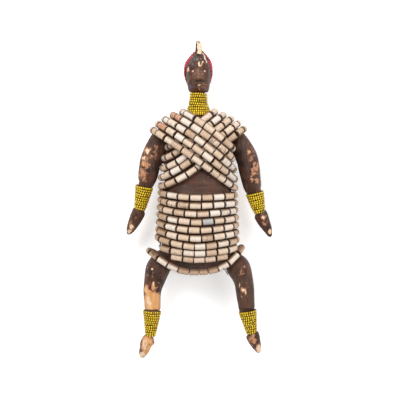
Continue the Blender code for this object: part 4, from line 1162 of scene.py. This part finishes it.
def shortStrand(row):
    b, under = belt, row - belt["full"] - 1
    facts = b["short"][under]
    room = (rowPitch * part / 2 + facts["room"]) / part
    front = (b["lowestLeft"] + b["lowestRight"]) / 2 - b["sag"] - b["sagGrowth"] * (b["full"] - 1)
    levels = (b["lowestLeft"] - room, b["lowestRight"] - room, front - (under + 1) * b["shortStep"],
              b["lowestBack"] - b["shortBack"] - under * rowPitch)
    joints = [seenX(x, b["shortLevel"]) for x in b["joints"][row - 1]]

    def bare(p, n):  # thread without beads
        if n[2] < 0:
            return abs(p[0]) > facts["backReach"] * part
        return not min(joints) - belt["bareRoom"] < p[0] < max(joints) + belt["bareRoom"]
    return beltLine(levels, facts["bend"], shortLift), joints, bare


for row in range(1, len(belt["joints"]) + 1):
    line, joints, bare = fullStrand(row) if row <= belt["full"] else shortStrand(row)
    makeStrand(f"belt_row_{row}", f"belt_strand_{row}", line, joints, bare, odd=oddBelt(row))
print("belt strung")

straps = {
    "a": ((-38.0, 243.5), (7.0, 218.5), (37.0, 189.6)),  # shoulder, bend, side of the middle strand
    "b": ((36.0, 243.0), (-19.0, 199.0), (-37.0, 189.7)),
    "pitch": 1.06 * rowPitch, "squeeze": 0.10, "depth": 30.0,
    "climb": (0.0135, 0.0135, 0.0145, 0.0160, 0.0180), "sideClear": 8.0,
    "slack": 0.0018, "slackLevel": 203.0, "slackReach": 18.0, "slackFrom": (17, 6), "slackTo": (33, 4),
    "looseA": (0.0, 1.0), "looseB": (0.25, 1.0),  # shares of the way between which a strand has slipped
    "looseness": 0.7,
    "beadRadius": 0.00378, "soften": 8, "upperLevel": 0.066, "lowerLevels": (0.058, 0.060),
    "dropA": (2.4, 1.7, 1.6, 2.2, 3.4), "dropB": (1.8, 4.0, 4.1, 2.5, 3.8),  # how far each strand has slipped
    "middlesA": (  # sideways pixels of the bead middles, from the neck outwards
        (181.5, 190.6, 199.7, 209.2, 219.0, 227.1),
        (177.6, 187.1, 195.9, 205.4, 214.1, 222.8, 230.0),
        (166.4, 173.4, 181.5, 190.3, 199.7, 209.6, 218.3, 225.0, 232.0),
        (163.6, 171.7, 179.7, 188.5, 198.0, 207.8, 216.6, 223.2, 230.6),
        (153.8, 161.5, 168.9, 177.6, 187.8, 197.3, 207.1, 214.5, 221.1, 227.5),
    ),
    "middlesB": (
        (205.7, 215.2), (215.2, 222.9), (218.7, 226.4, 231.3), (228.5, 236.2), (232.4, 240.8),
    ),
    "lowB": (
        (), (164.3, 170.6, 177.0), (164.3, 172.4, 181.8), (167.5, 175.9, 186.0, 195.0),
        (162.5, 171.7, 181.5, 192.0, 200.0),
    ),
    "oddFacing": 0.3, "oddReach": 0.004,
    "odd": {  # orange, stained and dark beads of the upper strap, by strand
        1: ((177.4, {"kind": 0.9, "tone": 0.6}), (214.1, {"stain": 0.9, "chip": 1.5}), (222.8, {"stain": 0.6})),
        2: ((190.3, {"tone": 0.9}),),
        3: ((163.6, {"kind": 0.9, "tone": 0.8}),),
    },
}


def strapCurve(curve, share):
    a, b, c = (np.array([*p, 0.0]) for p in curve)
    u = np.asarray(share)[:, None]
    first, second = a + (b - a) * u, b + (c - b) * u
    heading = unit(second - first)
    across = np.stack([-heading[:, 1], heading[:, 0], np.zeros(len(u))], 1)
    across = np.where(across[:, 1:2] > 0, across, -across)
    return first + (second - first) * u, across


def strapLine(curve, k, lift, drop, slack):
    s, offset = straps, (2 - k) * straps["pitch"]
    share, height = (1 + np.cos(turnAngles)) / 2, s["depth"] * np.sin(turnAngles)
    p, across = strapCurve(curve, share)
    loose = np.sin(np.pi * np.clip((share - slack[0]) / (slack[1] - slack[0]), 0, 1)) ** s["looseness"]
    p = p + across * (offset * (1 - s["squeeze"] * share ** 4) - drop * loose)[:, None]
    o, oAcross = strapCurve(curve, np.array([0.5]))
    origin = o + oAcross * offset * (1 - s["squeeze"] * 0.5 ** 4)
    directions = p - origin
    directions[:, 2] += height
    return layOnBody(trunkRows, np.repeat(origin, len(p), 0), directions, across, lift, taut=True)


def sideSlack(foot):  # the straps stand off the narrow waist at the sides
    s, x = straps, np.abs(foot[:, 0])
    (near, nearFade), (far, farFade) = s["slackFrom"], s["slackTo"]
    level = bump(foot[:, 1] - s["slackLevel"], s["slackReach"])
    return s["slack"] * level * np.clip((x - near) / nearFade, 0, 1) * np.clip((far - x) / farFade, 0, 1)


def underLift(foot):
    return plainLift(foot) + sideSlack(foot)


def overLift(foot, climb):  # the upper strap climbs over the lower one
    flat = (4 * straps["pitch"] + layer / part) / 2
    middle = strapCurve(straps["b"], np.linspace(0, 1, 41))[0]
    spot = foot * np.array([1, 1, 0])
    away = np.min(np.linalg.norm(spot[:, None] - middle[None], axis=2), axis=1)
    share = np.clip((away - flat) / (climb / part), 0, 1)
    offSide = np.clip(np.abs(foot[:, 2]) / straps["sideClear"] - 0.5, 0, 1)
    return underLift(foot) + offSide * layer * (1 + np.cos(np.pi * share)) / 2


def midJoints(middles, z):
    xs = [seenX(x, z) for x in middles]
    if not xs:
        return []
    joints = [(a + b) / 2 for a, b in zip(xs, xs[1:])]
    return [2 * xs[0] - joints[0]] + joints + [2 * xs[-1] - joints[-1]]


def oddStrap(strand):
    def odd(p, n):
        for px, facts in straps["odd"].get(strand, ()):
            if onBead(p, n, straps["oddFacing"], px, straps["upperLevel"], straps["oddReach"]):
                return facts
        return {}
    return odd


for k, climb in enumerate(straps["climb"]):
    s = straps
    line = strapLine(s["a"], k, lambda foot: overLift(foot, climb), s["dropA"][k], s["looseA"])
    joints = midJoints(s["middlesA"][k], s["upperLevel"])
    name, node = f"upper_strap_{k + 1}", f"shoulder_strand_a{k + 1}"
    makeStrand(name, node, line, joints, odd=oddStrap(k), radius=s["beadRadius"])
    line = strapLine(s["b"], k, underLift, s["dropB"][k], s["looseB"])
    joints = midJoints(s["middlesB"][k], s["lowerLevels"][0]) + midJoints(s["lowB"][k], s["lowerLevels"][1])
    name, node = f"lower_strap_{k + 1}", f"shoulder_strand_b{k + 1}"
    makeStrand(name, node, line, joints, radius=s["beadRadius"])
print("straps strung")

hip = {
    "middle": -2.8, "halfWidth": 46.2, "front": 20.5, "back": 24.0, "square": 3.0,
    "side": 110.6, "tilt": 1.8, "drop": (2.4, 0.6), "frontLevel": 88.0, "backLevel": 92.0, "dip": 4.0,
    "dipFrom": 0.4, "beadRadius": 0.0034,
    "middles": (162.7, 172.3, 183.8, 194.5, 203.4, 212.7, 223.6, 233.2), "seenLevel": 0.057,
    "odd": (  # from and to these pixels, how far beads must face the viewer, what is odd about them
        (0, 159, -0.3, {"tone": 1.0, "stain": 0.9}),
        (238, 400, -0.3, {"tone": 1.0, "stain": 0.7}),
        # the middle beads lie in the shade of the belt: painted darker, with painted shade on their edges
        (178, 218, 0.2, {"tone": 1.0, "rim": 0.6, "paintedShade": 1.1}),
        (0, 400, 0.2, {"tone": 0.2, "stain": 0.0}),
    ),
    "tails": (((223.3, 268.6, 0.056), (225.8, 271.0, 0.055), (227.6, 274.7, 0.052)),),
}


def hipLine():
    h, c, s = hip, np.cos(turnAngles), np.sin(turnAngles)
    across = squared(c, 2 / h["square"])
    height = np.where(s > 0, h["front"], h["back"]) * squared(s, 2 / h["square"])
    share = 1 - np.abs(across) ** (h["drop"][0] + h["drop"][1] * across)
    side = h["side"] + h["tilt"] * across
    along = side + (np.where(s > 0, h["frontLevel"], h["backLevel"]) - side) * share
    height = height - np.sign(s) * h["dip"] * np.maximum(0, share - h["dipFrom"])
    p = world(np.stack([h["middle"] + h["halfWidth"] * across, along, height], 1))
    return Line(p, unit(np.stack([c, -0.3 * s * s, s], 1)))


def oddHip(p, n):
    for low, high, facing, facts in hip["odd"]:
        if n[2] > facing and seenX(low) < p[0] < seenX(high):
            return facts
    return {}


joints = midJoints(hip["middles"], hip["seenLevel"])
makeStrand("hip_beads", "hip_strand", hipLine(), joints, odd=oddHip, radius=hip["beadRadius"], tails=hip["tails"])
print("hip strand hung")

seed = {
    "radius": 0.00117, "length": 0.00188, "pitch": 0.00212, "rowStep": 0.00250, "offWood": 0.00015, "fewest": 8,
    "flare": {"neck_collar": 0.0003, "cuff": 0.0009},  # how far the upper rims stand off
    "lean": 0.05, "wave": 0.00022, "jitter": 0.00010, "offJitter": 0.00008, "threadR": 0.00035,
    "darkest": 0.8, "stain": 0.35, "stainRight": 0.5, "stray": 0.05, "footStain": (0.1, 0.8),
    "lengthVaries": (0.93, 1.02), "radiusVaries": (0.93, 1.03), "turned": 0.10, "fewestRows": 4, "rimRoom": 0.9,
    "collarFoot": ((248.0, 100), (245.9, 78), (243.9, 54)),  # level and reach in degrees of the short rows
    "footLift": 0.0002, "footSteps": 160, "footStart": (0.3, 0.9), "threadSteps": 24,
}
seedThreadSides = 5
seedOutline = [(-0.80, 0.40), (-1.0, 0.55), (-0.86, 0.84), (-0.45, 0.985), (0.0, 1.0)]
seedShape = (np.array(seedOutline + [(-u, r) for u, r in reversed(seedOutline[:-1])]), 10)
wraps = {
    "left_wrist_cuff": limbs["leftArm"][7:10],
    "right_wrist_cuff": limbs["rightArm"][7:10],
    "left_ankle_cuff": limbs["leftLeg"][7:10],
    "right_ankle_cuff": limbs["rightLeg"][7:10],
    "neck_collar": ((0.0, 266.6, 0.0, 6.45), (0.0, 258.05, 0.0, 7.2), (0.0, 249.5, 0.0, 9.6)),
}


def alongLine(values, far, spots):
    return np.stack([np.interp(spots, far, values[:, k]) for k in range(3)], 1)


def addCollarFoot(piece, level, reach):
    rng = piece.rng
    turn = np.radians(np.linspace(-reach, reach, seed["footSteps"]))
    fan = np.stack([np.sin(turn), np.zeros_like(turn), np.cos(turn)], 1)
    foot = surfacePoint(trunkRows, np.tile([0.0, level, 0.0], (len(turn), 1)), fan)
    normal = outward(trunkRows, foot)
    p = world(foot) + normal * (seed["radius"] + seed["footLift"])
    far = np.concatenate([[0], np.cumsum(np.linalg.norm(np.diff(p, axis=0), axis=1))])
    spots = np.arange(rng.uniform(*seed["footStart"]) * seed["pitch"], far[-1], seed["pitch"])
    p, normal = alongLine(p, far, spots), unit(alongLine(normal, far, spots))
    along = unit(np.gradient(p, axis=0))
    for k in range(len(p)):
        tone, stain = rng.uniform(0, seed["darkest"]), rng.uniform(*seed["footStain"])
        facts = {"tone": tone, "stain": stain, "kind": 0.0, "chip": 0.0}
        piece.addBead(p[k], along[k], normal[k], seed["length"], seed["radius"], seedShape, facts)


def wrapSeeds(node, top, middle, bottom):
    piece, q = BeadMesh(node.replace("_cuff", "_seed_beads").replace("_collar", "_seed_collar")), seed
    rng = piece.rng
    a, b = world(bottom[:3]), world(top[:3])
    axis, long = unit(b - a), float(np.linalg.norm(b - a))
    up = unit(np.array([0, 0, 1.0]) - axis * axis[2])
    side = np.cross(axis, up)
    lean = rng.uniform(-q["lean"], q["lean"])
    flare = q["flare"].get(node, q["flare"]["cuff"])
    rows = max(q["fewestRows"], round(long / q["rowStep"]))
    rings = []
    for k in range(rows):
        share = (k + 0.5) / rows
        low, high = bottom[3], top[3]
        woodR = low + share * (4 * middle[3] - 3 * low - high) + 2 * share ** 2 * (low + high - 2 * middle[3])
        rings.append((share * long, woodR * part + q["offWood"] + q["radius"] + flare * share ** 2))
    for level, ringR in rings:
        count = max(q["fewest"], round(fullTurn * ringR / q["pitch"]))
        start, wobble = rng.random() * anyTurn, rng.random() * anyTurn
        for j in range(count):
            turn = start + fullTurn * j / count
            c, s = math.cos(turn), math.sin(turn)
            out = c * side + s * up
            rise = level + q["wave"] * math.sin(turn * 2 + wobble) + lean * c * ringR
            rise += rng.uniform(-q["jitter"], q["jitter"])
            rise = min(max(rise, q["radius"]), long - q["radius"] * q["rimRoom"])
            p = a + axis * rise + out * (ringR + rng.uniform(-q["offJitter"], q["offJitter"]))
            tangent = unit(-s * side + c * up + axis * rng.uniform(-q["turned"], q["turned"]))
            onRight = max(0.0, float(out[0]))
            tone = rng.uniform(0, q["darkest"])
            stain = rng.uniform(0, q["stain"]) + q["stainRight"] * onRight * rng.random()
            facts = {"tone": tone, "stain": stain, "kind": float(rng.random() < q["stray"]), "chip": 0.0}
            length = q["length"] * rng.uniform(*q["lengthVaries"])
            radius = q["radius"] * rng.uniform(*q["radiusVaries"])
            piece.addBead(p, tangent, out, length, radius, seedShape, facts)
    turns = aroundRing(q["threadSteps"])
    for level, ringR in rings:  # the thread that the beads of a row are on
        loop = [a + axis * level + ringR * (math.cos(t) * side + math.sin(t) * up) for t in turns]
        piece.addTube(loop, q["threadR"], seedThreadSides, closed=True)
    for level, reach in q["collarFoot"] if node == "neck_collar" else ():
        addCollarFoot(piece, level, reach)
    piece.finish([yellowSeeds, darkThread], node, "yellow_seed_bead")


for node, rows in wraps.items():
    wrapSeeds(node, *rows)
print("cuffs and collar wrapped")

headBand = {
    "middle": (0.2, 288.0), "crown": 0.3, "nape": 0.75, "foot": 303.0, "climb": 0.6, "step": 0.0032,
    "lift": 0.0015, "spread": (0.0004, 0.0016), "spreadFrom": (289, 7),  # the two strands part over the brow
    "radius": 0.00142, "beadStep": 0.00245, "headingStep": 0.0006, "threadR": 0.0003, "threadSteps": 80,
    # the red beads get only a little painted shade between them
    "darkest": 0.9, "stained": 0.12, "stain": 0.9, "stray": 0.15, "paintedShade": 0.2,
    "lengthVaries": (0.88, 0.97), "radiusVaries": (0.93, 1.03),
}


def headLine(k):
    h, c, s = headBand, np.cos(turnAngles), np.sin(turnAngles)
    directions = np.stack([c, s, -np.where(s > 0, h["crown"], h["nape"]) * np.abs(s)], 1)
    origins = np.tile([*h["middle"], -k * h["step"] / part], (len(c), 1))
    foot = surfacePoint(headRows, origins, unit(directions))
    straight = outward(headRows, foot)
    normal = unit(straight * np.array([1, 1, 0]))
    climb = h["climb"] * part * np.clip((foot[:, 1] - h["foot"]) / 2, 0, 1)
    upper = np.clip((foot[:, 1] - h["spreadFrom"][0]) / h["spreadFrom"][1], 0, 1)
    off = h["lift"] + k * (h["spread"][0] + h["spread"][1] * upper) + climb
    return Line(world(foot) + leaned(off, normal, straight), normal)


for k, node in enumerate(("head_strand_front", "head_strand_back")):
    line, piece, h = headLine(k), BeadMesh(node.replace("strand", "red_beads")), headBand
    rng, count = piece.rng, round(line.length / h["beadStep"])
    for j in range(count):
        d = (j + 0.5) * line.length / count
        p, n = line.read(d)
        axis = unit(line.read(d + h["headingStep"])[0] - line.read(d - h["headingStep"])[0])
        facts = {"tone": rng.uniform(0, h["darkest"]), "stain": h["stain"] * (rng.random() < h["stained"]),
                 "kind": float(rng.random() < h["stray"]), "chip": 0.0, "paintedShade": h["paintedShade"]}
        length = line.length / count * rng.uniform(*h["lengthVaries"])
        radius = h["radius"] * rng.uniform(*h["radiusVaries"])
        piece.addBead(p, axis, n, length, radius, seedShape, facts)
    ds = np.linspace(0, line.length, h["threadSteps"], endpoint=False)
    piece.addTube(line.read(ds)[0], h["threadR"], seedThreadSides, closed=True)
    piece.finish([redSeeds, darkThread], node, "red_seed_bead")
print("head band strung")


def buildEye(node):  # a worn round stud with a slightly sunk middle
    low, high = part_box(node)
    r = (high.x - low.x) / 2 * eye["fill"]
    bm = bmesh.new()
    bmesh.ops.create_uvsphere(bm, u_segments=28, v_segments=16, radius=r)
    for v in bm.verts:
        reach = math.hypot(v.co.x, v.co.y) / r
        v.co.z *= eye["flat"]
        if v.co.z > 0:
            v.co.z -= eye["sunk"] * max(0, 1 - (reach / eye["sunkReach"]) ** 2)
        v.co += v.normal * eye["wornDeep"] * noise.noise(v.co * eye["wornScale"])
    mesh = bpy.data.meshes.new(node + "_shell")
    bm.to_mesh(mesh)
    bm.free()
    mesh.shade_smooth()
    shell = newObject(node + "_shell", mesh, [eyeShell])
    shell.location = (low + high) / 2
    fitOut(shell, node)


for node in ("left_eye_stud", "right_eye_stud"):
    buildEye(node)
print("eyes set")

studio = {
    "tableHalf": 3.0,
    "floor": ((0.93, 0.93, 0.93), (0.94, 0.94, 0.94)),
    "cloudy": (40, 2, 0.5),
    "roughness": 0.9,
    "gloss": 0.1,
    "glow": 0.36,  # the table is lit a little, so shadows stay pale
    "sky": 0.55,
    "aim": (0, 0, 0.03),
    "lamps": {  # place, size, power
        "key": ((-0.45, 0.60, 1.0), 0.6, 9.0),
        "fill": ((0.7, 0.1, 0.9), 0.8, 5.0),
    },
    "sensor": 36,
}


def buildTable():
    bm = bmesh.new()
    bmesh.ops.create_grid(bm, x_segments=1, y_segments=1, size=studio["tableHalf"])
    mesh = bpy.data.meshes.new("table")
    bm.to_mesh(mesh)
    bm.free()
    n = Nodes("white_table")
    n.set("Base Color", n.mix(n.noise(*studio["cloudy"]), *studio["floor"]))
    n.set("Roughness", studio["roughness"])
    n.set("Specular IOR Level", studio["gloss"])
    n.set("Emission Color", (1, 1, 1))
    n.set("Emission Strength", studio["glow"])
    newObject("table", mesh, [n.material])


def buildLights():
    sky = bpy.data.worlds.new("studio")
    sky.use_nodes = True
    background = sky.node_tree.nodes["Background"]
    background.inputs["Color"].default_value = (1, 1, 1, 1)
    background.inputs["Strength"].default_value = studio["sky"]
    bpy.context.scene.world = sky
    for name, (at, size, power) in studio["lamps"].items():
        light = bpy.data.lights.new(name, "AREA")
        light.shape = "DISK"
        light.size = size
        light.energy = power
        lamp = bpy.data.objects.new(name, light)
        lamp.location = at
        lamp.rotation_euler = (Vector(studio["aim"]) - lamp.location).to_track_quat("-Z", "Y").to_euler()
        bpy.context.scene.collection.objects.link(lamp)


def buildCamera():
    lens = bpy.data.cameras.new("photo_view")
    lens.sensor_width = studio["sensor"]
    lens.lens = studio["sensor"] * camera["height"] / camera["width"]
    view = bpy.data.objects.new("photo_view", lens)
    view.location = (*camera["middle"], camera["height"] + camera["plane"])
    bpy.context.scene.collection.objects.link(view)
    bpy.context.scene.camera = view
    bpy.context.scene.view_settings.view_transform = "Standard"  # paper stays white


buildTable()
buildLights()
buildCamera()
print("studio ready")
